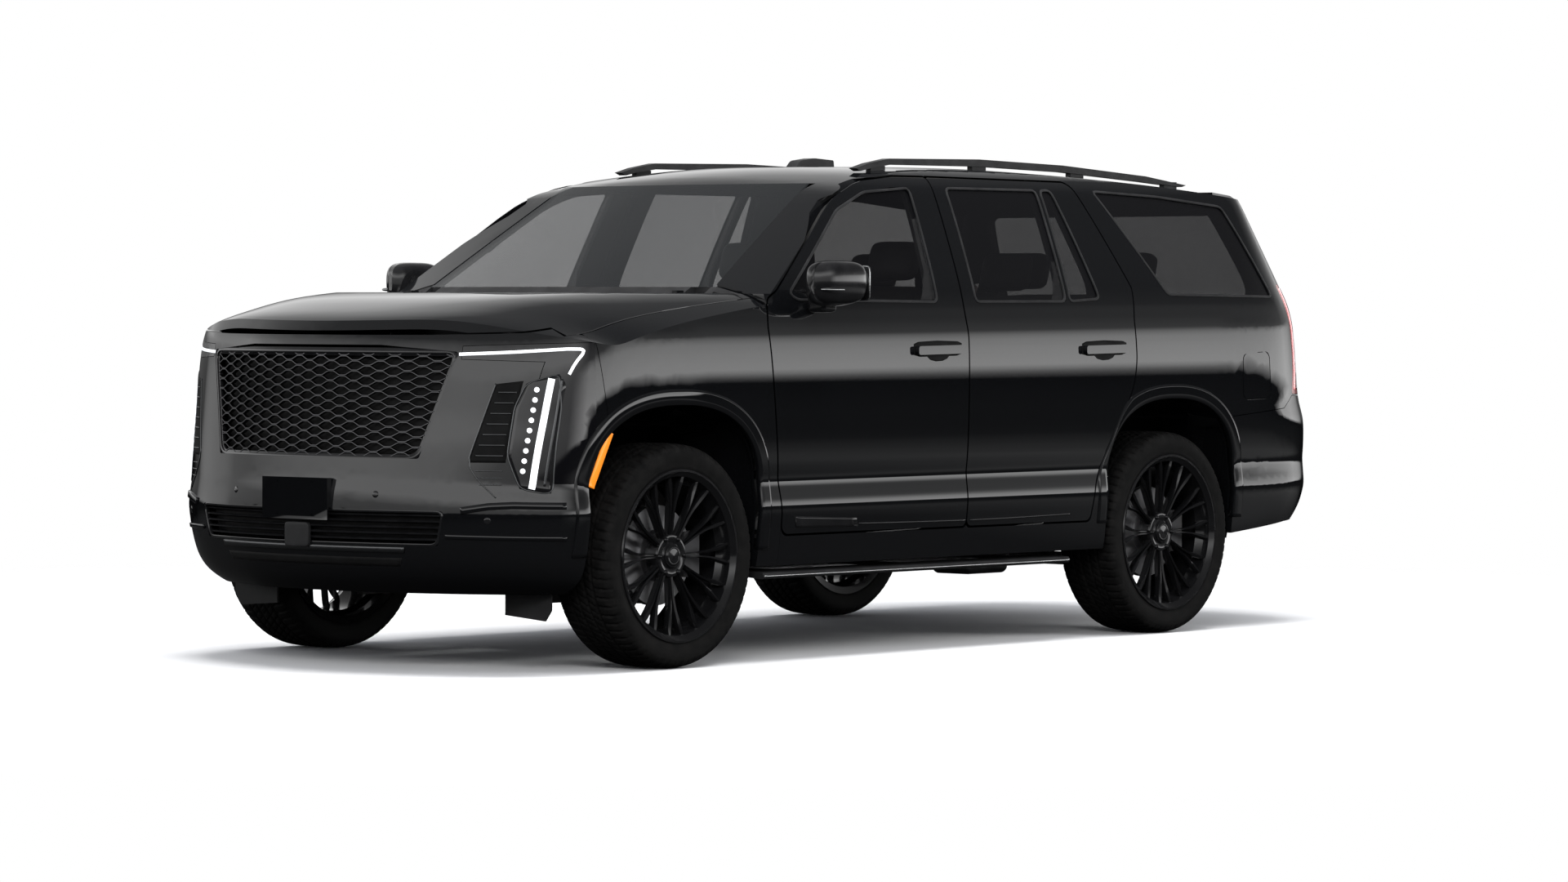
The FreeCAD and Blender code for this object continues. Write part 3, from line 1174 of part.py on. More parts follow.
def make_dashboard():
    """The dashboard across the cabin, under the windshield, with its console and column hole."""
    y = WINDSHIELD_BASE
    profile = [
        (y + 34, 760),
        (y + 34, 1330),
        (y + 150, 1345),
        (y + 420, 1318),
        (y + 470, 1260),
        (y + 430, 1090),
        (y + 330, 760),
    ]
    dash = side_prism(profile, [0, 0, 60, 60, 40, 80, 40], -860, 860)
    dash = dash.common(body_solid(lambda z: door_depth(z) + BODY_WALL + 6))
    sides = box(-900, 900, y - 50, FRONT_DOOR_EDGE + 2, 700, ARCH_TOP_FRONT + 40)
    dash = dash.cut(sides.cut(box(-490, 490, y - 60, 0, 0, 2000)))
    console = box(-105, 105, y + 300, y + 1150, FLOOR_TOP, 850)
    tilt = math.radians(COLUMN_TILT)
    hole = cylinder(COLUMN_RADIUS + 0.3, tuple(STEERING_WHEEL), (0, -math.cos(tilt), -math.sin(tilt)), 260)
    return biggest(dash.fuse(console).cut(hole))


def make_steering_wheel():
    """The steering wheel on its column, ahead of the left seat."""
    centre = STEERING_WHEEL
    tilt = math.radians(COLUMN_TILT)
    axis = Vector(0, math.cos(tilt), math.sin(tilt))
    ring = Part.makeTorus(180, 16, centre, axis)
    hub = Part.makeCylinder(58, 50, centre - axis * 34, axis)
    spokes = []
    for angle in (0, 90, 180):
        bar = box(centre.x, centre.x + 178, centre.y - 12, centre.y + 12, centre.z - 16, centre.z + 16)
        bar.rotate(centre, Vector(0, 1, 0), angle)
        bar.rotate(centre, Vector(1, 0, 0), COLUMN_TILT)
        spokes.append(bar)
    column = Part.makeCylinder(COLUMN_RADIUS, 240, centre - axis * 250, axis)
    return biggest(ring.fuse([hub, column] + spokes))


def make_mirror():
    """A left door mirror: housing, glass recess and foot."""
    x0, x1 = 1030.0, 1197.0
    plan = [(x0, -1020), (x0 + 40, -1072), (x1 - 40, -1020), (x1, -900)]
    plan += [(x1 - 8, -800), (x0 - 6, -790), (x0 - 14, -860)]
    shell = plan_prism(plan, [40, 60, 60, 60, 20, 20, 40], 1345, 1523)
    top = [e for e in shell.Edges if all(abs(v.Z - 1523) < 1 for v in e.Vertexes)]
    shell = shell.makeFillet(26, top)
    recess = box(x0 + 4, x1 - 18, -806, -700, 1362, 1506)
    foot = box(960, 1080, -984, -900, 1322, 1352)
    return biggest(shell.cut(recess).fuse(foot).cut(body_solid(-0.3)))


def make_engine():
    """The engine as one plain block that stands on the front crossmember."""
    y = FRONT_AXLE
    low = RAIL_BOTTOM + ENGINE_ABOVE_RAIL_BOTTOM
    return box(-290, 290, y - 345, y + 330, low, 1080)


def make_exhaust():
    """The exhaust under the floor: pipe, silencer and two tail pipes."""
    z = 300.0
    pipe = cylinder(32, (250, FRONT_AXLE + 520, z), (0, 1, 0), 2400)
    silencer = rounded_box(120, 330, 900, 1180, 235, 330, 30)
    beam_bottom = RAIL_BOTTOM + 8
    hangers = [box(244, 256, y - 15, y + 15, z, beam_bottom) for y in (-300, 420)]
    return biggest(pipe.fuse([silencer] + hangers))


def make_side_step():
    """A left side step with its bright edge."""
    y0, y1 = FRONT_AXLE + 472, 700.0
    outline = [(905, 322), (1004, 316), (1010, 326), (1004, 340), (905, 346)]
    wire = rounded_wire(outline, 4, lambda x, z: Vector(x, y0, z))
    board = Part.Face(wire).extrude(Vector(0, y1 - y0, 0))
    arms = [box(FRAME_OUTER_X, 915, y - 20, y + 20, 330, 344) for y in (y0 + 180, (y0 + y1) / 2, y1 - 180)]
    return board.fuse(arms)


def make_rails(forms):
    """The roof rails on their feet, and the aerial on the roof's middle."""
    points = [(-230, 1897), (-150, 1918), (-20, 1940), (560, 1951), (1120, 1940), (1700, 1908), (1990, 1876)]
    lower = [(1960, 1868), (1680, 1884), (1120, 1912), (560, 1922), (-10, 1916), (-140, 1898), (-200, 1886)]
    rail = side_prism(points + lower, 0, 606, 644)
    places = ((-130, 1910), (520, 1935), (1180, 1925), (1840, 1888))
    feet = [box(612, 638, y, y + 90, 1850, z) for y, z in places]
    rail = biggest(rail.fuse(feet).cut(moved(forms["outer"], 0, 0, 0.3)))
    fin = [(115, 1900), (160, 1946), (250, 1958), (372, 1952), (378, 1900)]
    fin = side_prism(fin, [0, 40, 60, 8, 0], -28, 28)
    fin = biggest(fin.cut(moved(forms["outer"], 0, 0, 0.3)))
    return Part.makeCompound([rail, mirrored(rail), fin])


def make_handle(y):
    """A door handle: a bar that stands off the door on two feet."""
    z = HANDLE_HEIGHT
    bar = side_prism(
        [(y, z - 17), (y, z + 17), (y + HANDLE_LENGTH, z + 22), (y + HANDLE_LENGTH, z - 12)], 10, 1012, 1044
    )
    hand = [(y + 34, z - 40), (y + 34, z + 40), (y + 250, z + 40), (y + 250, z - 40)]
    return bar.cut(side_prism(hand, 8, 1000, 1031))


def make_all():
    """Every piece of the vehicle by name."""
    forms = main_forms()
    pieces = {}

    def pair(name, shape, together=False):
        """Adds a left piece and its twin, as two nodes or together as one."""
        if together:
            pieces[name] = both_sides(shape)
        else:
            pieces[name + "_left"] = shape
            pieces[name + "_right"] = mirrored(shape)

    front_door = make_door(
        forms, FRONT_DOOR, FRONT_DOOR_RADII, [(FRONT_WINDOW, FRONT_WINDOW_RADII)], FRONT_DOOR_HINGE_Y
    )
    rear_door = make_door(
        forms, REAR_DOOR, REAR_DOOR_RADII, [(REAR_WINDOW, 12), (VENT_WINDOW, 12)], REAR_DOOR_HINGE_Y
    )
    pair("door_front", front_door.fuse(make_handle(-322)))
    pair("door_rear", rear_door.fuse(make_handle(765)))
    pair("glass_front", window_glass(forms, FRONT_WINDOW, FRONT_WINDOW_RADII))
    rear_panes = [window_glass(forms, REAR_WINDOW, 12), window_glass(forms, VENT_WINDOW, 12)]
    pair("glass_rear", Part.makeCompound([p.Solids[0] for p in rear_panes]))
    pair("mirror", make_mirror())
    pieces["hood"] = make_hood(forms)
    pair("front_fenders", make_fender(forms), True)
    side = make_body_side(forms)
    pieces["body_sides"] = Part.makeCompound([biggest(side.cut(fuel_door_groove(forms))), mirrored(side)])
    pieces["roof"] = make_roof(forms)
    pieces["tailgate"] = make_tailgate(forms)
    gate_pane = forms["glass_out"].common(rear_prism(TAILGATE_WINDOW, 40, TAIL - 700, TAIL + 100))
    gate_pane = gate_pane.cut(forms["glass_in"]).common(box(-900, 900, TAIL - 500, TAIL, 1200, 1900))
    pieces["tailgate_glass"] = biggest(gate_pane)
    pieces["rear_bumper"] = make_rear_bumper(forms)
    pieces["front_bumper"] = make_front_bumper(forms)
    pair("headlamps", make_headlamp(forms), True)
    pieces["grille"] = make_grille()
    pieces["windshield"] = make_windshield(forms)
    pair("quarter_glasses", biggest(window_glass(forms, QUARTER_WINDOW, QUARTER_RADII)), True)
    pair("tail_lamps", make_tail_lamp(forms), True)
    pieces["chassis_frame"] = make_chassis_frame()
    pieces["rear_axle"] = make_rear_axle()
    pair("knuckle", make_upright(FRONT_AXLE, True))
    for place, axle in (("front", FRONT_AXLE), ("rear", REAR_AXLE)):
        pair("tyre_" + place, make_tyre(axle))
        pair("rim_" + place, make_rim(axle))
    pieces["floor_pan"] = make_floor(forms)
    pieces["firewall"] = make_firewall(forms)
    front_seat = make_seat(400, -170, 540, cushion_top=830, back_height=640)
    pair("front_seats", front_seat, True)
    middle_seat = make_seat(360, 636, 500, cushion_top=830, back_height=600)
    load_floor = FLOOR_TOP + FLOOR_STEP_UP + FLOOR_THICKNESS
    bench = make_seat(0, 1640, 1160, base=load_floor, cushion_top=960, back_height=480)
    pieces["rear_seats"] = Part.makeCompound([middle_seat, mirrored(middle_seat), bench])
    pieces["dashboard"] = make_dashboard()
    pieces["steering_wheel"] = make_steering_wheel()
    pieces["engine"] = make_engine()
    pieces["exhaust"] = make_exhaust()
    pair("side_steps", make_side_step(), True)
    pieces["roof_rails"] = make_rails(forms)
    return pieces


for name, shape in make_all().items():
    shape.exportStep("parts/" + name + ".step")
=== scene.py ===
# %% [markdown]
# # A full-size family car in gloss black
# This file dresses a CAD model of a three-row car: it paints the panels, tints the glass,
# cuts the tyres' tread and adds the fine trim that a CAD file is too coarse for.
# Every shape is worked out with numpy as whole arrays, and every finish is made of nodes.

# %% Load the CAD model as a fixed frame
import math

import bpy
import numpy as np
from mathutils import Matrix, Vector


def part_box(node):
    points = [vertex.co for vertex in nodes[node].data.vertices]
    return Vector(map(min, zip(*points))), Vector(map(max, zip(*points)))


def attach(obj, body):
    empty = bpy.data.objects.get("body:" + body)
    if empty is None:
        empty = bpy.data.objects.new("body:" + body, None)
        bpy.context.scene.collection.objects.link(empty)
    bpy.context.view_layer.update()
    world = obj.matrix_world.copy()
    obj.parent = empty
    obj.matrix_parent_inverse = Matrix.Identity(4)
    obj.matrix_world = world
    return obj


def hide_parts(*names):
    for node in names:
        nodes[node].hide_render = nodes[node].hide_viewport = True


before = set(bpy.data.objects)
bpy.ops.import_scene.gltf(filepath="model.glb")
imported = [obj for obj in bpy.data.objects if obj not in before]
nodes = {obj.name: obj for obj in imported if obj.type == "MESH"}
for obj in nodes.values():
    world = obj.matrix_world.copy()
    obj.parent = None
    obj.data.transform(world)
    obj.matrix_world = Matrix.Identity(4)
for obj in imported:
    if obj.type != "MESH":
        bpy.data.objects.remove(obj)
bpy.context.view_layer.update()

MM = 0.001
SIDES = {"left": 1, "right": -1}

# %% [markdown]
# ## Shader maths
# A material is a small program. It could be wired by hand in Blender's node editor, but a
# long formula is hard to read that way, so a wrapped socket takes +, -, * and / here and
# adds the Math nodes for us.

# %% One class that turns Python expressions into shader nodes
class Socket:
    """A node socket that can be added, multiplied and so on, in either order."""

    def __init__(self, builder, socket):
        self.builder = builder
        self.socket = socket

    def math(self, operation, *others):
        """One Math node, with this socket as its first input."""
        return self.builder.node("ShaderNodeMath", {"operation": operation}, [self, *others])

    def __add__(self, other):
        return self.math("ADD", other)

    def __mul__(self, other):
        return self.math("MULTIPLY", other)

    def __sub__(self, other):
        return self.math("SUBTRACT", other)

    def __rsub__(self, other):
        return self.builder.node("ShaderNodeMath", {"operation": "SUBTRACT"}, [other, self])

    def __truediv__(self, other):
        return self.math("DIVIDE", other)

    __radd__ = __add__
    __rmul__ = __mul__

    def over(self, edge, softness=0.002):
        """0 below the edge and 1 above it: (value - edge + softness) / (2 * softness), clipped."""
        step = (self - (edge - softness)) / (2 * softness)
        return step.math("MAXIMUM", 0.0).math("MINIMUM", 1.0)


print("wrapped sockets ready")


# %% A material that is being built
class Finish:
    """A material being built: constants go on the shader, and what varies is linked."""

    def __init__(self, name, **constants):
        self.material = bpy.data.materials.new(name)
        self.material.use_nodes = True
        self.tree = self.material.node_tree
        self.tree.nodes.clear()
        self.output = self.tree.nodes.new("ShaderNodeOutputMaterial")
        self.shader = self.tree.nodes.new("ShaderNodeBsdfPrincipled")
        self.tree.links.new(self.shader.outputs[0], self.output.inputs["Surface"])
        for key, value in constants.items():
            self.shader.inputs[key.replace("_", " ")].default_value = value
        self.place = self.node("ShaderNodeTexCoord", {}, [], "Object")

    def node(self, kind, settings, inputs, output=0):
        """Adds a node, sets it up, and fills its sockets from values or other sockets."""
        made = self.tree.nodes.new(kind)
        for key, value in settings.items():
            setattr(made, key, value)
        pairs = inputs.items() if isinstance(inputs, dict) else enumerate(inputs)
        for key, value in pairs:
            if isinstance(value, Socket):
                self.tree.links.new(value.socket, made.inputs[key])
            else:
                made.inputs[key].default_value = value
        return Socket(self, made.outputs[output])

    def axes(self):
        """The x, y and z of the place on the object, in metres."""
        return [self.node("ShaderNodeSeparateXYZ", {}, [self.place], name) for name in "XYZ"]

    def noise(self, scale, detail=3.0, rough=0.5, stretch=(1.0, 1.0, 1.0)):
        """Cloudy levels around 0.5, finer with a larger scale, stretched along the axes."""
        mapped = self.node("ShaderNodeMapping", {}, {"Vector": self.place, "Scale": stretch})
        settings = {"Vector": mapped, "Scale": scale, "Detail": detail, "Roughness": rough}
        return self.node("ShaderNodeTexNoise", {}, settings, "Fac")

    def cells(self, scale):
        """The distance to the nearest border of a pattern of cells, as in grained plastic."""
        settings = {"feature": "DISTANCE_TO_EDGE"}
        return self.node("ShaderNodeTexVoronoi", settings, {"Vector": self.place, "Scale": scale}, "Distance")

    def blend(self, mask, first, second):
        """The first colour where the mask is 0 and the second where it is 1."""
        settings = {"data_type": "RGBA"}
        first, second = [c if isinstance(c, Socket) else (*c, 1.0) for c in (first, second)]
        return self.node("ShaderNodeMix", settings, {0: mask, 6: first, 7: second}, 2)

    def ramp(self, place, stops, interpolation="LINEAR"):
        """Grey levels between stops of (place, level)."""
        made = self.node("ShaderNodeValToRGB", {}, [place], "Color")
        band = made.socket.node.color_ramp
        band.interpolation = interpolation
        while len(band.elements) < len(stops):
            band.elements.new(0.5)
        for element, (where, level) in zip(band.elements, stops):
            element.position = where
            element.color = (level, level, level, 1.0)
        return made

    def vector(self, operation, *inputs, output=0):
        """One Vector Math node."""
        return self.node("ShaderNodeVectorMath", {"operation": operation}, inputs, output)

    def set(self, name, value):
        """Feeds a socket of the shader with something that varies over the surface."""
        self.tree.links.new(value.socket, self.shader.inputs[name])

    def bump(self, height, distance, **more):
        """Small bumps; more may name the direction that the bumps stand on."""
        settings = {"Height": height, "Distance": distance, **more}
        self.set("Normal", self.node("ShaderNodeBump", {}, settings))


print("shader helpers ready")

# %% [markdown]
# ## The car's skin as a formula
# Trim has to lie on the body. It could be shrinkwrapped onto the CAD mesh, but it would
# pick up every facet, so the scene works out the same smooth skin as the CAD file: a net of
# points, level above level, blended by cubic weights in both directions.

# %% The levels of the body, in millimetres: height, inset of the side, nose and tail
BODY_LEVELS = np.array([
    (290, 93, 131, 300), (320, 48, 92, 230), (370, 26, 52, 170), (430, 19, 30, 100),
    (500, 13, 14, 30), (575, 5, 8, 5), (605, 5, 8, 1), (655, 12, 11, 0), (700, 17, 17, 0),
    (725, 12, 21, 1), (800, 6, 30, 4), (870, 3, 38, 12), (930, 2, 46, 50), (1000, 0, 54, 66),
    (1080, 0, 62, 76), (1160, 1, 70, 86), (1225, 4, 80, 94), (1262, 7, 91, 98),
    (1282, 11, 100, 101), (1320, 17, 115, 108), (1365, 24, 131, 126), (1420, 41, 151, 156),
    (1520, 82, 191, 215), (1640, 134, 231, 285), (1750, 185, 261, 340), (1810, 215, 271, 365),
    (1850, 241, 281, 382), (1885, 285, 291, 396), (1910, 363, 301, 410),
], dtype=float)
HALF_LENGTH = 2691.0
HALF_WIDTH = 1023.0
UPPER_BODY, UPPER_SPAN = 1400.0, 400.0
TILT, TILT_LEVEL, TILT_SPAN = 0.0105, 1270.0, 900.0
SIDE_STATIONS = np.array([-1650, -1250, -850, -450, -50, 350, 750, 1150, 1500, 1800], dtype=float)
NOSE_POLES = np.array([(0, 0), (0.24, 0), (0.5, 82), (0.72, 165), (0.87, 285), (0.985, 425), (1, 640)])
TAIL_POLES = np.array([(1, -640), (0.99, -412), (0.93, -210), (0.8, -95), (0.56, -24), (0.26, 0), (0, 0)])
TOP_TAIL = np.array([(1, -420), (1, -260), (0.975, -130), (0.86, -60), (0.56, -22), (0.26, 0), (0, 0)])


def skin_net():
    """The net of the left half: rows are levels, and columns run from the nose to the tail.

    A point lies at its level's width times its pole's share, and at the height
    level + tilt * y, because the lines of the body climb a little towards the tail.
    """
    height, inset, nose, tail = BODY_LEVELS.T[:, :, None]
    width = HALF_WIDTH - inset
    upper = np.clip((height - UPPER_BODY) / UPPER_SPAN, 0, 1)[..., None]
    rear = TAIL_POLES[None] * (1 - upper) + TOP_TAIL[None] * upper
    ones = np.ones((1, len(SIDE_STATIONS)))
    x = np.hstack([width * NOSE_POLES[:, 0], width * ones, width * rear[..., 0]])
    front_y = nose - HALF_LENGTH + NOSE_POLES[:, 1]
    y = np.hstack([front_y, SIDE_STATIONS + 0 * width, HALF_LENGTH - tail + rear[..., 1]])
    tilt = TILT * np.maximum(0.0, 1 - np.abs(height - TILT_LEVEL) / TILT_SPAN)
    return np.stack([x, y, height + tilt * y], axis=-1)


NET = skin_net()
print("net of the skin:", NET.shape[0], "levels of", NET.shape[1], "points")


# %% The skin between the points of its net
def cubic_weights(count, t):
    """The four cubic weights at t of a clamped net with even knots, and where they start."""
    knots = np.concatenate([[0] * 3, np.arange(count - 2), [count - 3] * 3]).astype(float)
    t = np.clip(t, 0, count - 3 - 1e-9)
    first = np.floor(t).astype(int)
    at = first + 3
    weights = [np.ones_like(t)]
    for degree in (1, 2, 3):
        left = [t - knots[at + 1 - degree + r] for r in range(degree)]
        right = [knots[at + 1 + r] - t for r in range(degree)]
        shares = [w / (right[r] + left[r]) for r, w in enumerate(weights)]
        down = [share * right[r] for r, share in enumerate(shares)] + [0 * t]
        up = [0 * t] + [share * left[r] for r, share in enumerate(shares)]
        weights = [a + b for a, b in zip(down, up)]
    return first, weights


def skin(u, v):
    """Points of the skin in millimetres: the weighted sum of sixteen points of the net."""
    row, row_weights = cubic_weights(NET.shape[0], v)
    column, column_weights = cubic_weights(NET.shape[1], u)
    total = 0
    for a in range(4):
        for b in range(4):
            total = total + (row_weights[a] * column_weights[b])[..., None] * NET[row + a, column + b]
    return total


middle_of_net = skin(np.array([NET.shape[1] / 2]), np.array([NET.shape[0] / 2]))
print("skin at the middle of the net:", np.round(middle_of_net[0], 1))

# %% [markdown]
# A strip of trim is given by places on the picture of one side, such as a length and a
# height. The formula of the skin works the other way round, from net places to points, so
# the net place is found by trying, seeing how much is missing and stepping nearer.

# %% The skin at a given length or width and height
COARSE_STEPS = 90
STEPS_NEARER = 8
SMALL_STEP = 1e-4
SIDE_COLUMNS = (5.0, NET.shape[1] - 7.0)
NOSE_COLUMNS = (0.0, 8.0)
TAIL_COLUMNS = (NET.shape[1] - 11.0, NET.shape[1] - 3.0)


def find_on_skin(a, z, axis, columns):
    """The skin where coordinate axis is a and the height is z, by stepping along the slopes.

    Starts from the nearest point of a coarse grid whose column lies in the given span,
    and then repeats: new place = old place + (what is missing) / (slope), both ways at once.
    """
    a, z = np.broadcast_arrays(np.asarray(a, float), np.asarray(z, float))
    grid_u, grid_v = np.meshgrid(np.linspace(*columns, COARSE_STEPS),
                                 np.linspace(0, NET.shape[0] - 3, COARSE_STEPS))
    coarse = skin(grid_u, grid_v).reshape(-1, 3)
    miss = (coarse[:, axis] - a.reshape(-1, 1)) ** 2 + (coarse[:, 2] - z.reshape(-1, 1)) ** 2
    start = miss.argmin(axis=1)
    step = SMALL_STEP
    last_u, last_v = NET.shape[1] - 3 - 2 * step, NET.shape[0] - 3 - 2 * step
    u = np.minimum(grid_u.reshape(-1)[start].reshape(a.shape), last_u)
    v = np.minimum(grid_v.reshape(-1)[start].reshape(a.shape), last_v)
    for _ in range(STEPS_NEARER):
        here = skin(u, v)
        du = (skin(u + step, v) - here) / step
        dv = (skin(u, v + step) - here) / step
        ra, rz = a - here[..., axis], z - here[..., 2]
        det = du[..., axis] * dv[..., 2] - dv[..., axis] * du[..., 2]
        det = np.where(np.abs(det) < 1e-6, 1e-6, det)
        u = np.clip(u + np.clip((ra * dv[..., 2] - rz * dv[..., axis]) / det, -1, 1), 0, last_u)
        v = np.clip(v + np.clip((rz * du[..., axis] - ra * du[..., 2]) / det, -1, 1), 0, last_v)
    here = skin(u, v)
    out = np.cross(skin(u + step, v) - here, skin(u, v + step) - here)
    out /= np.linalg.norm(out, axis=-1, keepdims=True)
    return here, out


def on_side(y, z):
    """The left side's skin and its outward direction at a length and height."""
    point, out = find_on_skin(y, z, 1, SIDE_COLUMNS)
    return point, out * np.sign(out[..., :1])


def on_nose(x, z):
    """The left half of the nose at a distance from the middle and a height."""
    point, out = find_on_skin(x, z, 0, NOSE_COLUMNS)
    return point, out * -np.sign(out[..., 1:2])


def on_tail(x, z):
    """The left half of the tail at a distance from the middle and a height."""
    point, out = find_on_skin(x, z, 0, TAIL_COLUMNS)
    return point, out * np.sign(out[..., 1:2])


check, _ = on_side(np.array([0.0]), np.array([1000.0]))
print("skin at the middle of the side:", np.round(check[0], 1))

# %% [markdown]
# ## The finishes
# The real car is black almost everywhere, so the finishes differ in gloss rather than in
# colour: deep glossy paint, shiny trim, grained plastic, rubber, leather and metal. Paint is
# a mirror first of all, so the panels get the skin's exact directions, which a mesh of flat
# triangles can only guess.

# %% Gloss black paint, with a dull lining on the faces that look into the cabin
SLOPE_HEIGHTS = np.concatenate([np.linspace(480, 900, 14), np.linspace(940, 1400, 10),
                                np.linspace(1460, 1860, 8)])
SLOPE_LOW, SLOPE_SPAN = SLOPE_HEIGHTS[0], SLOPE_HEIGHTS[-1] - SLOPE_HEIGHTS[0]
side_out = on_side(np.zeros(len(SLOPE_HEIGHTS)), SLOPE_HEIGHTS)[1]
side_slopes = -side_out[:, 2] / side_out[:, 0]
SLOPE_STOPS = [((h - SLOPE_LOW) / SLOPE_SPAN, 0.5 + s / 2) for h, s in zip(SLOPE_HEIGHTS, side_slopes)]
EXACT_MIDDLE, EXACT_REACH, EXACT_FADE = 0.075, 1.70, 0.08
SAME_WAY, SAME_WAY_FADE = 0.985, 0.008
print("slopes of the side from", np.round(side_slopes.min(), 3), "to", np.round(side_slopes.max(), 3))


def side_direction(f, x, y, z):
    """The skin's own outward direction on the sides, so that reflections do not ripple.

    A flat triangle only guesses how a curved panel faces. With h = z - tilt * y for the
    level and s for the side's slope dx/dh there, the exact answer is (sign x, s * tilt, -s)
    made one long. It counts between the axles, where the mesh faces nearly the same way.
    """
    near_tilt_level = 1.0 - (z - TILT_LEVEL * MM).math("ABSOLUTE") / (TILT_SPAN * MM)
    tilt = near_tilt_level.math("MAXIMUM", 0.0) * TILT
    place = (z - tilt * y - SLOPE_LOW * MM) / (SLOPE_SPAN * MM)
    slope = f.ramp(place, SLOPE_STOPS, "CARDINAL") * 2.0 - 1.0
    exact = f.node("ShaderNodeCombineXYZ", {}, [x.math("SIGN"), slope * tilt, 0.0 - slope])
    to_world = {"vector_type": "NORMAL", "convert_from": "OBJECT", "convert_to": "WORLD"}
    exact = f.vector("NORMALIZE", f.node("ShaderNodeVectorTransform", to_world, [exact]))
    meshed = f.node("ShaderNodeNewGeometry", {}, [], "Normal")
    agree = f.vector("DOT_PRODUCT", exact, meshed, output="Value").over(SAME_WAY, SAME_WAY_FADE)
    between = 1.0 - (y - EXACT_MIDDLE).math("ABSOLUTE").over(EXACT_REACH, EXACT_FADE)
    inputs = {0: agree * between, 4: meshed, 5: exact}
    mixed = f.node("ShaderNodeMix", {"data_type": "VECTOR"}, inputs, 1)
    return f.vector("NORMALIZE", mixed)


DOOR_CARD_X = 0.926
FRAME_INNER_X, BELT_HEIGHT, WINDOW_LEAN = 0.955, 1.42, 0.43


def paint(name, lining_x=None):
    """Glossy black paint; nearer the middle than lining_x it turns to cabin trim.

    Over the belt the window frames lean inwards, so there the border between paint and
    trim lies at frame - lean * (height - belt) instead.
    """
    f = Finish(name, IOR=1.75)
    x, y, z = f.axes()
    flakes = f.noise(900.0, 2.0)
    base = f.blend(flakes.over(0.62, 0.05), (0.0035, 0.0037, 0.0042), (0.010, 0.011, 0.013))
    rough = f.noise(3.0) * 0.01 + 0.01
    if lining_x is not None:
        inner_face = (FRAME_INNER_X - (z - BELT_HEIGHT) * WINDOW_LEAN).math("MINIMUM", lining_x)
        lining = (inner_face - x.math("ABSOLUTE")).over(0.0, 0.001)
        grain = f.cells(420.0).over(0.1, 0.1)
        base = f.blend(lining, base, f.blend(grain, (0.012, 0.012, 0.012), (0.022, 0.021, 0.020)))
        rough = rough + lining * 0.55
    f.set("Base Color", base)
    f.set("Roughness", rough)
    f.bump(f.noise(55.0, 1.0), 0.000004, Normal=side_direction(f, x, y, z))
    return f.material


body_paint = paint("body paint")
door_paint = paint("door paint and card", DOOR_CARD_X)
print("paints:", body_paint.name, "|", door_paint.name)


# %% Trim in shiny and in grained black plastic
def plastic(name, colour, rough, grain_scale, grain_depth, coat=0.0):
    """Moulded plastic whose grain and gloss vary a little from place to place."""
    f = Finish(name, IOR=1.48, Coat_Roughness=0.04)
    wear = f.noise(14.0, 4.0)
    lighter = tuple(min(1.0, c * 1.6 + 0.003) for c in colour)
    f.set("Base Color", f.blend(wear.over(0.55, 0.2), colour, lighter))
    f.set("Roughness", wear * 0.12 + (rough - 0.06))
    f.set("Coat Weight", wear * 0.1 + coat)
    f.bump(f.cells(grain_scale), grain_depth)
    return f.material


gloss_trim = plastic("gloss black trim", (0.006, 0.006, 0.0065), rough=0.12,
                     grain_scale=60.0, grain_depth=0.00001, coat=0.8)
rough_trim = plastic("grained black trim", (0.013, 0.013, 0.0135), rough=0.52,
                     grain_scale=700.0, grain_depth=0.0002)
cabin_trim = plastic("charcoal cabin trim", (0.028, 0.027, 0.026), rough=0.55,
                     grain_scale=520.0, grain_depth=0.0002)
# Painted shade: this near-black is laid as thin plates where hollows, slots and openings hold only shade
recess_shade = plastic("painted recess shade", (0.002, 0.002, 0.002), rough=0.8,
                     grain_scale=90.0, grain_depth=0.00005)
print("trims: gloss, grained, cabin, recess")


# %% Metals: bright edges, black wheels, cast parts and the painted frame
BRUSHED = (1.0, 0.1, 8.0)
TURNED = (0.3, 6.0, 0.3)
EVEN = (1.0, 1.0, 1.0)
DUST = (0.05, 0.045, 0.038)


def metal(name, colour, rough, metallic=1.0, streak=EVEN, coat=0.0, dirt=0.0):
    """Metal with brushed or cast variation, and optional road dust in patches."""
    f = Finish(name, Coat_Roughness=0.03, Coat_Weight=coat)
    grain = f.noise(40.0, 4.0, 0.6, streak)
    dusty = f.noise(6.0, 3.0).over(0.58, 0.12) * dirt
    f.set("Base Color", f.blend(dusty, colour, DUST))
    f.set("Roughness", grain * 0.16 + dusty * 0.3 + (rough - 0.08))
    f.set("Metallic", metallic - dusty * metallic)
    f.bump(grain, 0.00006)
    return f.material


bright_metal = metal("bright metal", (0.78, 0.79, 0.80), rough=0.14, streak=BRUSHED)
dim_metal = metal("dim satin metal", (0.20, 0.205, 0.21), rough=0.3, streak=BRUSHED)
dark_chrome = metal("dark chrome", (0.11, 0.11, 0.115), rough=0.22)
black_wheel = metal("gloss black wheel", (0.014, 0.014, 0.015), rough=0.16, metallic=0.55, coat=0.9)
cast_metal = metal("cast metal", (0.16, 0.16, 0.165), rough=0.5, metallic=0.8, dirt=0.7)
frame_paint = metal("frame paint", (0.012, 0.012, 0.013), rough=0.45, metallic=0.0, dirt=0.5)
steel = metal("plain steel", (0.42, 0.42, 0.43), rough=0.32, streak=TURNED, dirt=0.3)
print("metals ready")


# %% [markdown]
# Glass is not drawn by bending light here. Each pane lets through a share of what is
# behind it and mirrors the rest, more at a glancing angle, which is what the eye sees.

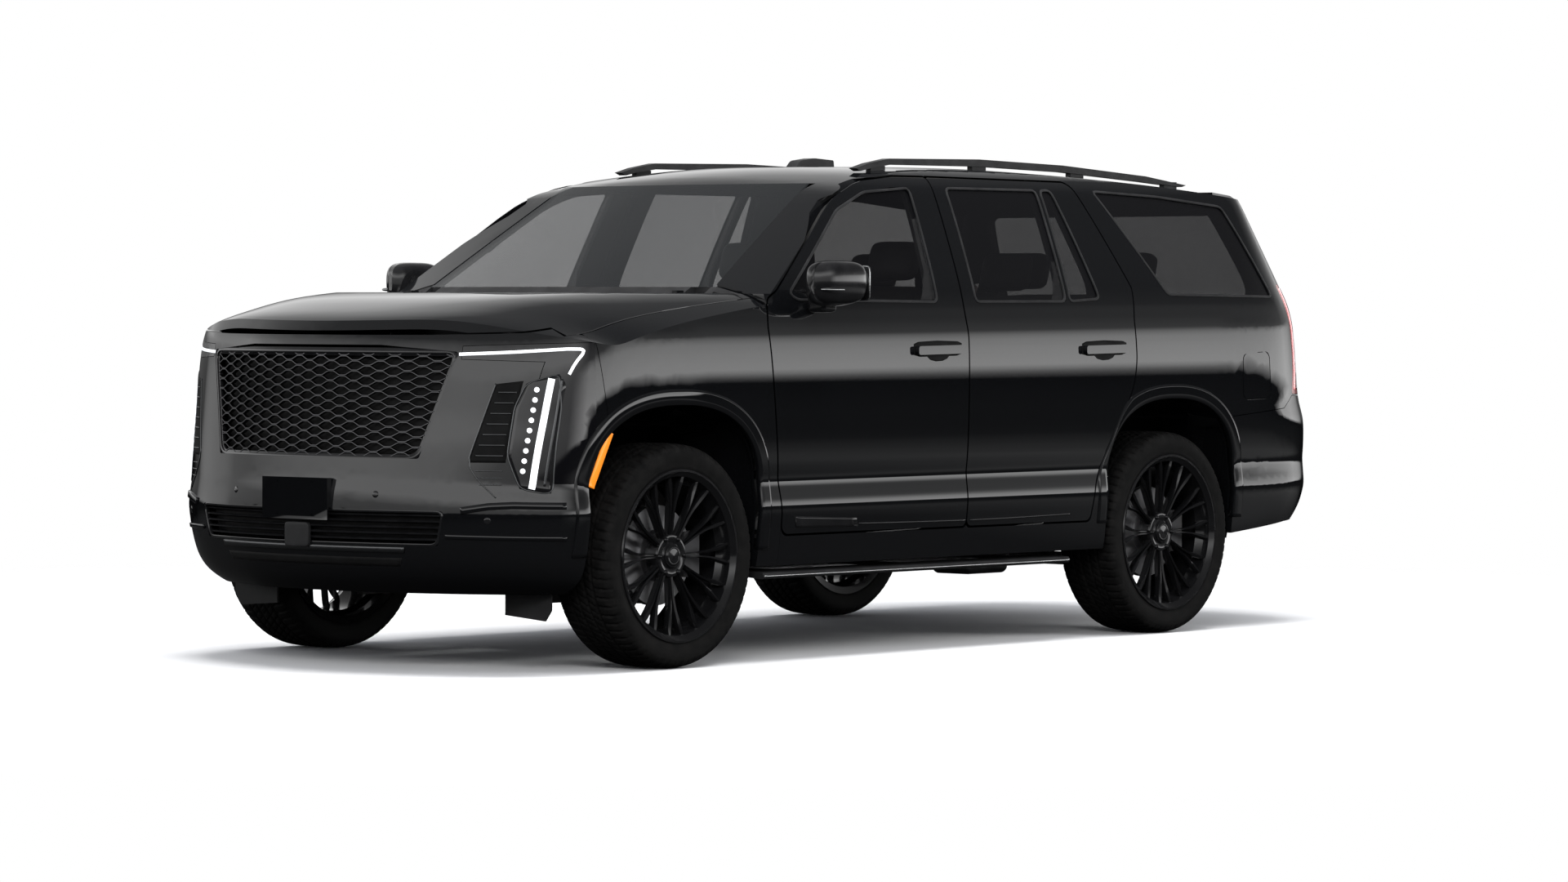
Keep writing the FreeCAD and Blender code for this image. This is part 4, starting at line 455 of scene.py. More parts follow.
# %% Window glass and lamp lenses
def glass(name, colour, body, rough=0.02, glow=0.0):
    """A tinted pane: body is how much it hides when it is looked at straight on."""
    f = Finish(name, IOR=1.5, Base_Color=(*colour, 1.0), Coat_Weight=1.0, Coat_Roughness=0.01)
    glancing = f.node("ShaderNodeLayerWeight", {}, {"Blend": 0.5}, "Facing").math("POWER", 4.0)
    f.set("Alpha", glancing * (1.0 - body) + body)
    f.set("Roughness", f.noise(2.0, 2.0) * 0.02 + rough)
    f.material.surface_render_method = "DITHERED"
    if glow:
        f.shader.inputs["Emission Color"].default_value = (*colour, 1.0)
        f.shader.inputs["Emission Strength"].default_value = glow
    return f.material


clear_glass = glass("clear grey glass", (0.03, 0.032, 0.034), body=0.17)
door_glass = glass("grey front door glass", (0.004, 0.004, 0.005), body=0.42)
dark_glass = glass("dark tinted glass", (0.006, 0.006, 0.007), body=0.55)
lens = glass("smoked lamp lens", (0.004, 0.004, 0.005), body=0.97)
red_lens = glass("red lamp lens", (0.35, 0.008, 0.006), body=0.82)
amber_lens = glass("amber marker lens", (0.95, 0.28, 0.02), body=0.97, rough=0.12, glow=0.5)
print("glass ready")


# %% Light-giving bars, leather and tyre rubber
def light_bar(name, colour, strength):
    """A lit light guide whose brightness shimmers a little from place to place."""
    f = Finish(name, Base_Color=(0.8, 0.8, 0.8, 1.0), Roughness=0.2, Emission_Strength=strength)
    shimmer = f.noise(120.0, 1.0)
    f.set("Emission Color", f.blend(shimmer, tuple(0.8 * c for c in colour), colour))
    return f.material


def leather(name, colour):
    """Cabin leather: fine cells for grain, with slow changes in tone and shine."""
    f = Finish(name, IOR=1.45)
    tone = f.noise(5.0, 3.0)
    darker = tuple(0.6 * c for c in colour)
    f.set("Base Color", f.blend(tone, darker, colour))
    f.set("Roughness", tone * 0.2 + 0.36)
    f.bump(f.cells(380.0) + f.noise(90.0) * 0.2, 0.0004)
    return f.material


def rubber(name):
    """Tyre rubber: black, dull, dusted with grey in patches."""
    f = Finish(name, IOR=1.35)
    dust = f.noise(22.0, 5.0, 0.65)
    f.set("Base Color", f.blend(dust.over(0.56, 0.2), (0.004, 0.004, 0.004), (0.012, 0.0115, 0.011)))
    f.set("Roughness", dust * 0.25 + 0.6)
    f.bump(f.noise(260.0, 2.0), 0.00025)
    return f.material


white_light = light_bar("lit white guide", (0.93, 0.96, 1.0), strength=1.15)
red_light = light_bar("lit red guide", (0.9, 0.02, 0.01), strength=0.7)
seat_leather = leather("black seat leather", (0.030, 0.028, 0.027))
tyre_rubber = rubber("tyre rubber")
print("lights, leather and rubber ready")

# %% [markdown]
# ## Dressing the CAD panels
# A CAD node keeps its own mesh. New panels could be modelled over it, but the panels are
# already right, so only their material slots are filled, and the paint lies exactly where
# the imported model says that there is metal.

# %% Give every CAD node its finish
finish_of = {
    "hood": body_paint, "front_fenders": body_paint, "body_sides": body_paint, "roof": body_paint,
    "tailgate": body_paint, "rear_bumper": body_paint, "front_bumper": body_paint,
    "headlamps": lens, "grille": gloss_trim, "windshield": clear_glass,
    "tailgate_glass": dark_glass, "quarter_glasses": dark_glass, "tail_lamps": red_lens,
    "chassis_frame": frame_paint, "rear_axle": cast_metal, "floor_pan": frame_paint,
    "firewall": rough_trim, "front_seats": seat_leather, "rear_seats": seat_leather,
    "dashboard": cabin_trim, "steering_wheel": seat_leather, "engine": cast_metal,
    "exhaust": steel, "side_steps": rough_trim, "roof_rails": rough_trim,
}
for side in SIDES:
    finish_of[f"door_front_{side}"] = door_paint
    finish_of[f"door_rear_{side}"] = door_paint
    finish_of[f"glass_front_{side}"] = door_glass
    finish_of[f"glass_rear_{side}"] = dark_glass
    finish_of[f"mirror_{side}"] = gloss_trim
    finish_of[f"knuckle_{side}"] = cast_metal
    for end in ("front", "rear"):
        finish_of[f"tyre_{end}_{side}"] = tyre_rubber
        finish_of[f"rim_{end}_{side}"] = black_wheel


def put_on(thing, material):
    """Makes the material the only one on an object."""
    thing.data.materials.clear()
    thing.data.materials.append(material)


def shade_smooth(thing, degrees=24.0):
    """Shades bends smoothly while the mesh itself stays as it is.

    The CAD mesh is loose triangles, so one modifier joins them, and the next one parts
    them again wherever two faces meet at more than the given angle.
    """
    polygons = thing.data.polygons
    polygons.foreach_set("use_smooth", np.ones(len(polygons), dtype=bool))
    weld = thing.modifiers.new("join", "WELD")
    weld.merge_threshold = 0.00001
    split = thing.modifiers.new("edges", "EDGE_SPLIT")
    split.split_angle = math.radians(degrees)


for node_name, thing in nodes.items():
    put_on(thing, finish_of[node_name])
    shade_smooth(thing)
print("dressed", len(nodes), "nodes")

# %% [markdown]
# ## From arrays to meshes
# A mesh is a list of points and a list of faces. They could be modelled by hand, one edge
# after the other. Here both are worked out for a whole grid at once, so a piece is one short
# formula. A tube gets a lid at both ends, and only the low domes are left open, at the foot
# that lies hidden on the skin.

# %% Faces of a grid or a tube, and pieces that ride on their bodies
def grid_faces(rows, columns, wrap_rows=False, wrap_columns=False):
    """Four-sided faces between neighbours of a grid, joined round where it wraps."""
    r = np.arange(rows if wrap_rows else rows - 1)[:, None]
    c = np.arange(columns if wrap_columns else columns - 1)[None, :]
    a = r * columns + c
    b = r * columns + (c + 1) % columns
    d = ((r + 1) % rows) * columns + c
    e = ((r + 1) % rows) * columns + (c + 1) % columns
    return np.stack([a, b, e, d], axis=-1).reshape(-1, 4).tolist()


def flipped(faces):
    """The same faces, turned to look the other way."""
    return [face[::-1] for face in faces]


def tube_faces(rows, columns):
    """Faces of a tube whose rows are rings, with a lid at both ends."""
    first, last = list(range(columns)), list(range((rows - 1) * columns, rows * columns))
    return grid_faces(rows, columns, False, True) + [first[::-1], last]


def handed(shape, sign):
    """A shape of the left side as it is, or for the sign -1 its mirror image: x becomes -x."""
    points, faces = shape
    points = np.asarray(points, float).reshape(-1, 3) * (sign, 1, 1)
    return points, faces if sign > 0 else flipped(faces)


def join(parts):
    """Several sets of points and faces as one."""
    points, faces, start = [], [], 0
    for some_points, some_faces in parts:
        points.append(np.asarray(some_points).reshape(-1, 3))
        faces += [[i + start for i in face] for face in some_faces]
        start += len(points[-1])
    return np.concatenate(points), faces


def make_piece(name, shape, material, body, smooth=True, both=False):
    """A mesh from points in millimetres, riding on a body; both adds its mirror image."""
    points, faces = join([shape, handed(shape, -1)]) if both else shape
    mesh = bpy.data.meshes.new(name)
    mesh.from_pydata(np.asarray(points, float).reshape(-1, 3) * MM, [], faces)
    mesh.polygons.foreach_set("use_smooth", np.full(len(mesh.polygons), smooth))
    mesh.materials.append(material)
    mesh.update()
    thing = bpy.data.objects.new(name, mesh)
    bpy.context.scene.collection.objects.link(thing)
    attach(thing, body)
    print(f"{name}: {len(mesh.vertices)} points, {len(mesh.polygons)} faces on {body}")
    return thing


print("faces of a tube of 3 rings of 4 points:", len(tube_faces(3, 4)))

# %% [markdown]
# Most trim on a car is a bar, a lip or a seal: the same small profile all along its length.
# A curve with a bevel could make it, but it would not turn with the body's surface. So a
# closed profile is carried along a path, as icing is piped along the edge of a cake, and it
# leans with the skin wherever it goes.

# %% A profile carried along a path
SOFT_CORNER = 0.3


def unit(vectors):
    """The same directions with length one."""
    return vectors / np.maximum(np.linalg.norm(vectors, axis=-1, keepdims=True), 1e-9)


def sweep(path, out, profile, closed=False):
    """Points and faces of a profile carried along a path.

    Each point is path + a * side + b * out, where (a, b) is a corner of the profile, out
    is the direction away from the surface, and side lies across both the path and out.
    """
    path, out = np.asarray(path, float), np.asarray(out, float)
    if closed:
        along = np.roll(path, -1, axis=0) - np.roll(path, 1, axis=0)
    else:
        along = np.gradient(path, axis=0)
    along = unit(along)
    side = unit(np.cross(out, along))
    out = unit(np.cross(along, side))
    profile = np.asarray(profile, float)
    points = path[:, None] + profile[None, :, :1] * side[:, None] + profile[None, :, 1:] * out[:, None]
    size = len(path), len(profile)
    return points.reshape(-1, 3), grid_faces(*size, True, True) if closed else tube_faces(*size)


def rounded_profile(width, height, sink=2.0):
    """A low strip's profile: flat foot sunk under the skin, and a top with soft corners."""
    half = width / 2
    soft = SOFT_CORNER * min(half, height)
    return [(-half, -sink), (half, -sink), (half, height - soft), (half - soft, height),
            (-half + soft, height), (-half, height - soft)]


def smooth_line(corners, count, rounding=2):
    """A line through corners, its corners cut off evenly a few times, then spaced evenly."""
    line = np.asarray(corners, float)
    for _ in range(rounding):
        near, far = line[:-1] * 0.75 + line[1:] * 0.25, line[:-1] * 0.25 + line[1:] * 0.75
        middle = np.stack([near, far], axis=1).reshape(-1, line.shape[1])
        line = np.concatenate([line[:1], middle, line[-1:]])
    length = np.concatenate([[0], np.cumsum(np.linalg.norm(np.diff(line, axis=0), axis=1))])
    even = np.linspace(0, length[-1], count)
    return np.stack([np.interp(even, length, line[:, k]) for k in range(line.shape[1])], axis=1)


def rounded_line(corners, radius, count):
    """A closed outline whose corners are arcs that start a radius away from each corner.

    Each arc is (1 - t)^2 * before + 2 t (1 - t) * corner + t^2 * after.
    """
    corner = np.asarray(corners, float)
    back, on = np.roll(corner, 1, axis=0) - corner, np.roll(corner, -1, axis=0) - corner
    reach = [np.minimum(radius, 0.45 * np.linalg.norm(v, axis=1))[:, None] for v in (back, on)]
    before, after = corner + unit(back) * reach[0], corner + unit(on) * reach[1]
    t = np.linspace(0, 1, 9)[None, :, None]
    arcs = (1 - t) ** 2 * before[:, None] + 2 * t * (1 - t) * corner[:, None] + t ** 2 * after[:, None]
    line = arcs.reshape(-1, 2)
    return smooth_line(np.concatenate([line, line[:1]]), count + 1, 0)[:-1]


def strip(surface, corners, width, height, count=60, rounding=2):
    """A strip laid on a surface function along a line of two coordinates."""
    line = smooth_line(corners, count, rounding)
    return sweep(*surface(line[:, 0], line[:, 1]), rounded_profile(width, height))


def rim_strip(surface, corners, radius, width, height, count=160, sink=2.0):
    """A strip laid along a closed outline on a surface."""
    line = rounded_line(corners, radius, count)
    return sweep(*surface(line[:, 0], line[:, 1]), rounded_profile(width, height, sink), closed=True)


print("a rounded profile has", len(rounded_profile(10, 4)), "corners")

# %% Thin plates on the skin, rounded blocks and low domes
PLATE_SINK = 1.5
POLE_GAP = 0.03


def patch(surface, first, second, lift, rows=28, columns=10):
    """A thin plate between two lines of surface coordinates, lifted off the skin.

    Its places are first * (1 - share) + second * share, with the share going from 0 to 1.
    """
    a, b = smooth_line(first, rows, 0), smooth_line(second, rows, 0)
    share = np.linspace(0, 1, columns)[None, :, None]
    place = a[:, None] * (1 - share) + b[:, None] * share
    point, out = surface(place[..., 0], place[..., 1])
    top, foot = point + lift * out, point - PLATE_SINK * out
    ring = np.concatenate([top, foot[:, ::-1]], axis=1)
    faces = tube_faces(rows, 2 * columns)
    turn = np.cross(top[1, 0] - top[0, 0], top[0, 1] - top[0, 0]) @ out[0, 0]
    return ring, flipped(faces) if turn > 0 else faces


def block(centre, half, flat=4.0, edge=4.0, rows=30, around=56):
    """A rounded block: half * sign(s) |s|^(2 / power) of each coordinate s of a sphere."""
    v = np.linspace(-math.pi / 2 + POLE_GAP, math.pi / 2 - POLE_GAP, rows)[:, None]
    u = np.linspace(0, 2 * math.pi, around, endpoint=False)[None]

    def push(s, power):
        """sign(s) |s|^(2 / power): 2 keeps a circle, and more makes it squarer."""
        return np.sign(s) * np.abs(s) ** (2 / power)

    x, y = push(np.cos(v), edge) * push(np.cos(u), flat), push(np.cos(v), edge) * push(np.sin(u), flat)
    z = push(np.sin(v), edge) * np.ones_like(u)
    points = np.asarray(centre, float) + np.asarray(half, float) * np.stack([x, y, z], axis=-1)
    return points.reshape(-1, 3), tube_faces(rows, around)


def dome(centre, out, radius, height, rings=4, around=14):
    """A low round cap: rings shrink as a cosine while they rise as a sine."""
    across = unit(np.cross(out, (0, 0, 1.0)))
    up = np.cross(across, out)
    t = np.linspace(0, math.pi / 2, rings + 1)[:, None]
    a = np.linspace(0, 2 * math.pi, around, endpoint=False)[None]
    flat = (np.cos(t) * np.cos(a))[..., None] * across + (np.cos(t) * np.sin(a))[..., None] * up
    points = centre + radius * flat + (height * np.sin(t) * np.ones_like(a))[..., None] * out
    return points, flipped(grid_faces(rings + 1, around, False, True))


print("mesh helpers ready")

# %% [markdown]
# ## Tyres
# A tyre is a ring whose section swells at the walls and is nearly flat across the tread.
# Every tread block could be a solid of its own, but real blocks are moulded with the ring.
# So the grooves are cut by moving one surface inwards where a pattern of two coordinates,
# the angle round the wheel and the place across it, says groove.

# %% The tyre's skin with tread, shoulder blocks and a rim guard
TYRE_RADIUS = 419.0
TRACK_HALF = 871.0
AXLES = {"front": -1681.0, "rear": 1390.0}
TYRE_SECTION = [(-124, 316), (-130, 322), (-137, 340), (-141, 364), (-140, 384), (-133, 402), (-117, 413),
                (-92, 417), (-50, 418.6), (50, 418.6), (92, 417), (117, 413), (133, 402), (140, 384),
                (141, 364), (137, 340), (130, 322), (124, 316)]
TYRE_BORE = np.array([(122.0, 306.0), (-122.0, 306.0)])
STRAIGHT_GROOVES = (-62, -22, 22, 62)
RIB_CUTS, SHOULDER_CUTS = 84, 72
TREAD_DEPTH = 6.5


def smooth_step(value, low, high):
    """0 up to low, 1 from high on, and t^2 (3 - 2 t) between."""
    t = np.clip((value - low) / (high - low), 0, 1)
    return t * t * (3 - 2 * t)


def tyre_surface(turns=720):
    """Offset across the wheel and radius of the tyre's skin, over angle and section.

    The section is a line from bead to bead, rounded at its corners. The tread pattern is
    the largest of four straight grooves, slanted cuts in the ribs and deeper shoulder cuts.
    """
    line = smooth_line(TYRE_SECTION, 104, 2)
    angle = np.linspace(0, 2 * math.pi, turns, endpoint=False)[:, None]
    across, radius = line[:, 0][None], line[:, 1][None]
    tread = smooth_step(radius, 404, 413)
    straight = np.max([np.exp(-((across - x) / 5.0) ** 4) for x in STRAIGHT_GROOVES], axis=0)
    slant = np.abs(np.mod(angle * RIB_CUTS / (2 * math.pi) + across / 40.0, 1) - 0.5)
    cuts = (1 - smooth_step(slant, 0.07, 0.12)) * (np.abs(across) < 66) * 0.7
    shift = np.sign(across) * 0.25 + across / 300.0
    shoulder = np.abs(np.mod(angle * SHOULDER_CUTS / (2 * math.pi) + shift, 1) - 0.5)
    blocks = (1 - smooth_step(shoulder, 0.09, 0.15)) * smooth_step(np.abs(across), 68, 74)
    depth = TREAD_DEPTH * tread * np.maximum(np.maximum(straight * np.ones_like(angle), cuts), blocks)
    wall_cut = (1 - smooth_step(shoulder, 0.08, 0.14)) * smooth_step(radius, 384, 400) * (1 - tread)
    guard = 1.6 * np.exp(-((radius - 332) / 4.0) ** 2) + 0.7 * np.exp(-((radius - 388) / 2.0) ** 2)
    swell = guard - 2.6 * wall_cut
    return across + np.sign(across) * swell, radius - depth, angle


def turned(end, sign, across, radius, angle):
    """Points turned round an axle: y and z are the radius times the angle's sine and cosine."""
    x = sign * (TRACK_HALF + across)
    y = AXLES[end] + radius * np.sin(angle)
    z = TYRE_RADIUS + radius * np.cos(angle)
    return np.stack(np.broadcast_arrays(x, y, z), axis=-1)


def make_tyre(end, side):
    """The tyre's skin from bead to bead and its bore, turned round its axle."""
    across, radius, angle = tyre_surface()
    bore_across, bore_radius = np.ones((len(angle), 1)) * TYRE_BORE.T[:, None]
    across, radius = np.hstack([across, bore_across]), np.hstack([radius, bore_radius])
    faces = grid_faces(*radius.shape, True, True)
    shape = turned(end, SIDES[side], across, radius, angle), faces if SIDES[side] > 0 else flipped(faces)
    tyre = make_piece(f"tread_{end}_{side}", shape, tyre_rubber, f"wheel_{end}_{side}")
    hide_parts(f"tyre_{end}_{side}")


for end in AXLES:
    for side in SIDES:
        make_tyre(end, side)

# %% [markdown]
# ## Wheels
# Each wheel is cast in one piece: a turned barrel, a hub with six nuts, and twelve forked
# spokes. Solids cut from each other could make it, but a grid for each part is lighter and
# has no ragged edges. Every fork has two blades with a sharp ridge, so that each blade shows
# one bright and one dark face.

# %% Turned parts: barrel, hub, cap and brake disc
BARREL = [(-136, 322), (-126, 322), (-126, 303), (-94, 303), (-72, 286), (72, 286), (94, 303), (126, 303),
          (126, 323), (133, 325), (138, 322), (138, 314), (130, 306), (122, 296), (94, 291), (68, 274),
          (-68, 274), (-94, 291), (-130, 292)]
HUB = [(40, 30.2), (40, 78), (84, 82), (91, 78), (93, 66), (88, 50), (92, 44), (98, 42), (98, 30.2)]
CAP = [(90, 0.5), (90, 40), (97, 40), (101, 37), (103, 33), (103, 29), (102, 27), (103.5, 0.5)]
DISC = [(-12, 60), (-12, 186), (-10, 188), (-2, 188), (-2, 170), (8, 170), (8, 188), (16, 188), (18, 186),
        (18, 98), (24, 94), (40, 90), (40, 60)]


def revolve(profile, end, sign, around=160):
    """A closed profile of (offset across, radius) turned round the axle."""
    across, radius = np.array(profile, float).T[:, None]
    angle = np.linspace(0, 2 * math.pi, around, endpoint=False)[:, None]
    faces = grid_faces(around, len(profile), True, True)
    area = np.sum(across * np.roll(radius, -1) - np.roll(across, -1) * radius)
    flip = (area > 0) == (sign > 0)
    return turned(end, sign, across, radius, angle), flipped(faces) if flip else faces


print("turned profiles:", len(BARREL), len(HUB), len(CAP), len(DISC), "corners")

# %% Forked blades and nuts
SPOKES = 12
SPOKE_RADII = np.array([66, 110, 160, 200, 228, 252, 274, 292, 310], float)
SPOKE_APART = np.array([5, 6, 8, 12, 18, 24, 30, 34, 37], float)
SPOKE_WIDTH = np.array([9, 9, 10, 12, 16, 21, 20, 14, 9], float)
SPOKE_FACE = np.array([90, 95, 99, 105, 110, 114, 117, 119, 120], float)
BLADE_ACROSS = np.array([-0.5, -0.42, 0.10, 0.42, 0.5, 0.2, -0.2])
BLADE_DEPTH = np.array([12.0, 5.0, 0.0, 7.0, 14.0, 34.0, 34.0])
NUTS, NUT_CIRCLE, NUT_OFFSET = 6, 69.85, 90


def blades(end, sign):
    """Two ridged blades a spoke: their middle lines part outwards and their ends widen.

    A point is hub + r * outwards + (offset + width * a) * sideways + (face - depth) * x.
    """
    turn = 2 * math.pi * np.arange(SPOKES) / SPOKES
    lean = np.array([-1.0, 1.0])
    rings, corners = len(SPOKE_RADII), len(BLADE_ACROSS)
    aside = lean[None, :, None, None] * (SPOKE_APART[:, None] + SPOKE_WIDTH[:, None] * BLADE_ACROSS)
    out = np.broadcast_to(SPOKE_RADII[:, None], (SPOKES, 2, rings, corners))
    x = np.broadcast_to(SPOKE_FACE[:, None] - BLADE_DEPTH, out.shape)
    c, s = np.cos(turn)[:, None, None, None], np.sin(turn)[:, None, None, None]
    points = np.stack([sign * (TRACK_HALF + x), AXLES[end] + aside * c + out * s,
                       TYRE_RADIUS - aside * s + out * c], axis=-1)
    faces = tube_faces(rings, corners)
    both_ways = (faces, flipped(faces)) if sign > 0 else (flipped(faces), faces)
    return join([(points[spoke, blade], both_ways[blade]) for spoke in range(SPOKES) for blade in (0, 1)])


def nuts(end, sign):
    """Domed nuts on the stud circle."""
    out = np.array([sign, 0.0, 0.0])
    turn = 2 * math.pi * (np.arange(NUTS) + 0.5) / NUTS
    places = [turned(end, sign, NUT_OFFSET, NUT_CIRCLE, t) for t in turn]
    return join([dome(place, out, radius=11, height=11, rings=5, around=12) for place in places])


def smooth_by_angle(thing, degrees=28.0):
    """Shades gentle bends smoothly and keeps edges sharper than the angle crisp."""
    mesh = thing.data
    mesh.polygons.foreach_set("use_smooth", np.ones(len(mesh.polygons), dtype=bool))
    mesh.set_sharp_from_angle(angle=math.radians(degrees))


def make_wheel(end, side):
    """One wheel of the pieces above, standing for the CAD rim, and its disc as plain steel."""
    sign = SIDES[side]
    body = f"wheel_{end}_{side}"
    shape = join([revolve(BARREL, end, sign), revolve(HUB, end, sign, around=48),
                  revolve(CAP, end, sign, around=48), blades(end, sign), nuts(end, sign)])
    wheel = make_piece(f"spokes_{end}_{side}", shape, black_wheel, body, smooth=False)
    shape = revolve(DISC, end, sign, around=96)
    disc = make_piece(f"disc_{end}_{side}", shape, steel, body, smooth=False)
    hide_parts(f"rim_{end}_{side}")
    smooth_by_angle(wheel)
    smooth_by_angle(disc)


for end in AXLES:
    for side in SIDES:
        make_wheel(end, side)

# %% [markdown]
# ## The grille
# The real grille is a black mesh in a tall opening. A picture of a mesh would be flat from
# the side, so every row is a bar bent into flat-topped waves, and the next row is shifted by
# half a wave. Together the bars draw long cells across the opening.

# %% Wavy grille bars that follow the nose
GRILLE_TOP, GRILLE_BOTTOM = 1170.0, 800.0
GRILLE_HEIGHTS, GRILLE_HALVES = [787, 1176], [519, 638]
GRILLE_ROWS, GRILLE_WAVE, GRILLE_BORDER = 21, 112.0, 14.0
GRILLE_BAR = [(-1.6, -13), (1.6, -13), (2.6, 0), (1.2, 3), (-1.2, 3), (-2.6, 0)]


def edge_to_edge(surface, depth=0.0):
    """The nose or tail from edge to edge: the left half's skin and its mirror image.

    A point is the skin's point - depth * the outward direction.
    """
    def place(x, z):
        """Points and outward directions at widths of either sign."""
        point, out = surface(np.abs(x), z)
        turn = np.stack([np.where(x < 0, -1, 1), np.ones_like(x), np.ones_like(x)], axis=-1)
        return (point - depth * out) * turn, out * turn

    return place


def grille_mesh():
    """Bars whose height is a clipped triangle wave of x, every second one shifted by half a wave."""
    bars = []
    pitch = (GRILLE_TOP - GRILLE_BOTTOM) / (GRILLE_ROWS - 1)
    for row in range(GRILLE_ROWS):
        level = GRILLE_BOTTOM + row * pitch
        half = float(np.interp(level, GRILLE_HEIGHTS, GRILLE_HALVES) - GRILLE_BORDER)
        x = np.linspace(-half, half, int(half / 6) * 2)
        wave_at = np.abs(np.mod(x / GRILLE_WAVE + 0.5 * (row % 2), 1) - 0.5) * 2
        step = (np.clip(wave_at * 2.0 - 0.5, 0, 1) - 0.5) * 0.78 * pitch
        z = np.clip(level + step, GRILLE_BOTTOM - 6, GRILLE_TOP + 4)
        bars.append(sweep(*edge_to_edge(on_nose, 8.0)(x, z), GRILLE_BAR))
    return join(bars)


mesh_bars = make_piece("grille_mesh", grille_mesh(), dark_chrome, "vehicle_body", smooth=False)
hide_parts("grille")

# %% The grille's frame, the lower bars and the painted shade behind them
GRILLE_EDGE = [(-638, 1176), (-519, 787), (519, 787), (638, 1176)]
LOWER_EDGE = [(-629, 596), (-598, 471), (598, 471), (629, 596)]
LOWER_HEIGHTS, LOWER_HALVES = [471, 596], [592, 622]
LOWER_BAR = [(-4, -22), (4, -22), (5, -2), (2, 3), (-2, 3), (-5, -2)]
edge, ledge = edge_to_edge(on_nose, 2.0), edge_to_edge(on_nose, 7.0)
frames = [rim_strip(edge, GRILLE_EDGE, radius=46, width=15, height=1.0, count=240, sink=16),
          rim_strip(ledge, GRILLE_EDGE, radius=46, width=30, height=0.5, count=240, sink=16),
          rim_strip(edge, LOWER_EDGE, radius=30, width=12, height=1.0, count=240, sink=16)]
make_piece("grille_frames", join(frames), gloss_trim, "vehicle_body")

bars = []
for level in np.linspace(490, 580, 5):
    half = float(np.interp(level, LOWER_HEIGHTS, LOWER_HALVES))
    x = np.linspace(-half, half, 80)
    bars.append(sweep(*edge_to_edge(on_nose, 12.0)(x, 0 * x + level), LOWER_BAR))
make_piece("lower_grille_bars", join(bars), gloss_trim, "vehicle_body", smooth=False)

# Painted shade: black sheets deep behind the bars stand in for the shade inside both openings
deep, lower = edge_to_edge(on_nose, 34.0), edge_to_edge(on_nose, 40.0)
upper_sides = [(-510, 792), (-630, 1170)], [(510, 792), (630, 1170)]
lower_sides = [(-590, 474), (-620, 592)], [(590, 474), (620, 592)]
backs = [patch(deep, *upper_sides, lift=0.0, rows=20, columns=60),
         patch(lower, *lower_sides, lift=0.0, rows=8, columns=60)]
make_piece("grille_painted_shade", join(backs), recess_shade, "vehicle_body")

# %% [markdown]
# ## Lamps
# By day the real lamps show as lines of white: a thin one along the top that turns down at
# the corner, and a broad one down the lamp's middle with a row of small round lenses beside
# it. Inboard of the lamp a recess with level slats takes air round the wheel, and its shade is
# painted on a black plate. Lines painted into a material would blur, so each line is a strip
# of its own on the skin.

# %% Housing, light lines and round lenses
HOUSING = [(941, 1099), (860, 1062), (832, 975), (821, 799), (860, 681), (939, 660), (945, 838), (951, 976)]
housing = patch(on_nose, [(860, 681), (821, 799), (832, 975), (860, 1062), (872, 1070)],
                [(938, 664), (945, 838), (951, 976), (958, 1060), (941, 1097)], lift=1.2)
make_piece("lamp_housings", housing, gloss_trim, "vehicle_body", both=True)

louvre_edge = [(772, 1062), (720, 857), (699, 773), (738, 709), (798, 648)]
edges = [rim_strip(on_nose, HOUSING, radius=24, width=5, height=3.0),
         strip(on_nose, [(948, 1080), (938, 900), (921, 690)], width=9, height=2.5, count=40),
         strip(on_nose, louvre_edge, width=5, height=2.5, rounding=1)]
make_piece("lamp_edges", join(edges), dim_metal, "vehicle_body", both=True)

daytime_line = [(640, 1167), (794, 1174), (883, 1181), (976, 1190), (985, 1180), (971, 1135), (962, 1096)]
daytime = strip(on_nose, daytime_line, width=11, height=3, count=90, rounding=1)
make_piece("daytime_lines", daytime, white_light, "vehicle_body", both=True)

light_line = strip(on_nose, [(924, 1080), (908, 884), (891, 680)], width=25, height=4)
make_piece("lamp_bars", light_line, white_light, "vehicle_body", both=True)

LENS_HEIGHTS, LENS_INBOARD = np.linspace(745, 1040, 9), 30
beside_line = np.interp(LENS_HEIGHTS, [680, 1080], [891, 922]) - LENS_INBOARD
lenses = [dome(*spot, radius=10.5, height=3.5) for spot in zip(*on_nose(beside_line, LENS_HEIGHTS))]
make_piece("lamp_lenses", join(lenses), white_light, "vehicle_body", both=True)

# %% Air slats beside the lamps, and amber side markers
SLAT_LEVELS, LOW_SLAT_LEVELS = np.linspace(800, 1030, 7), (745, 720, 695)
# Painted shade: a black plate stands in for the shade of the recess behind the slats
louvre_sides = [(702, 775), (720, 857), (772, 1060)], [(818, 775), (828, 916), (852, 1072)]
louvre_shade = patch(on_nose, *louvre_sides, lift=0.8)
make_piece("lamp_louvre_shade", louvre_shade, recess_shade, "vehicle_body", both=True)

slats = []
for level in SLAT_LEVELS:
    inner = np.interp(level, [775, 857, 1060], [706, 724, 776]) + 14
    outer = np.interp(level, [775, 916, 1072], [808, 818, 842])
    slats.append(strip(on_nose, [(inner, level), (outer, level)], width=5, height=4, count=16, rounding=0))
for level in LOW_SLAT_LEVELS:
    ends = [(738 - (level - 709) * 0.3, level), (810, level)]
    slats.append(strip(on_nose, ends, width=4, height=2, count=16, rounding=0))
make_piece("lamp_slats", join(slats), dim_metal, "vehicle_body", both=True)

marker_line = [(-2080, 884), (-2122, 793), (-2163, 684)]
markers = strip(on_side, marker_line, width=30, height=5, count=40, rounding=1)
make_piece("amber_markers", markers, amber_lens, "vehicle_body", both=True)
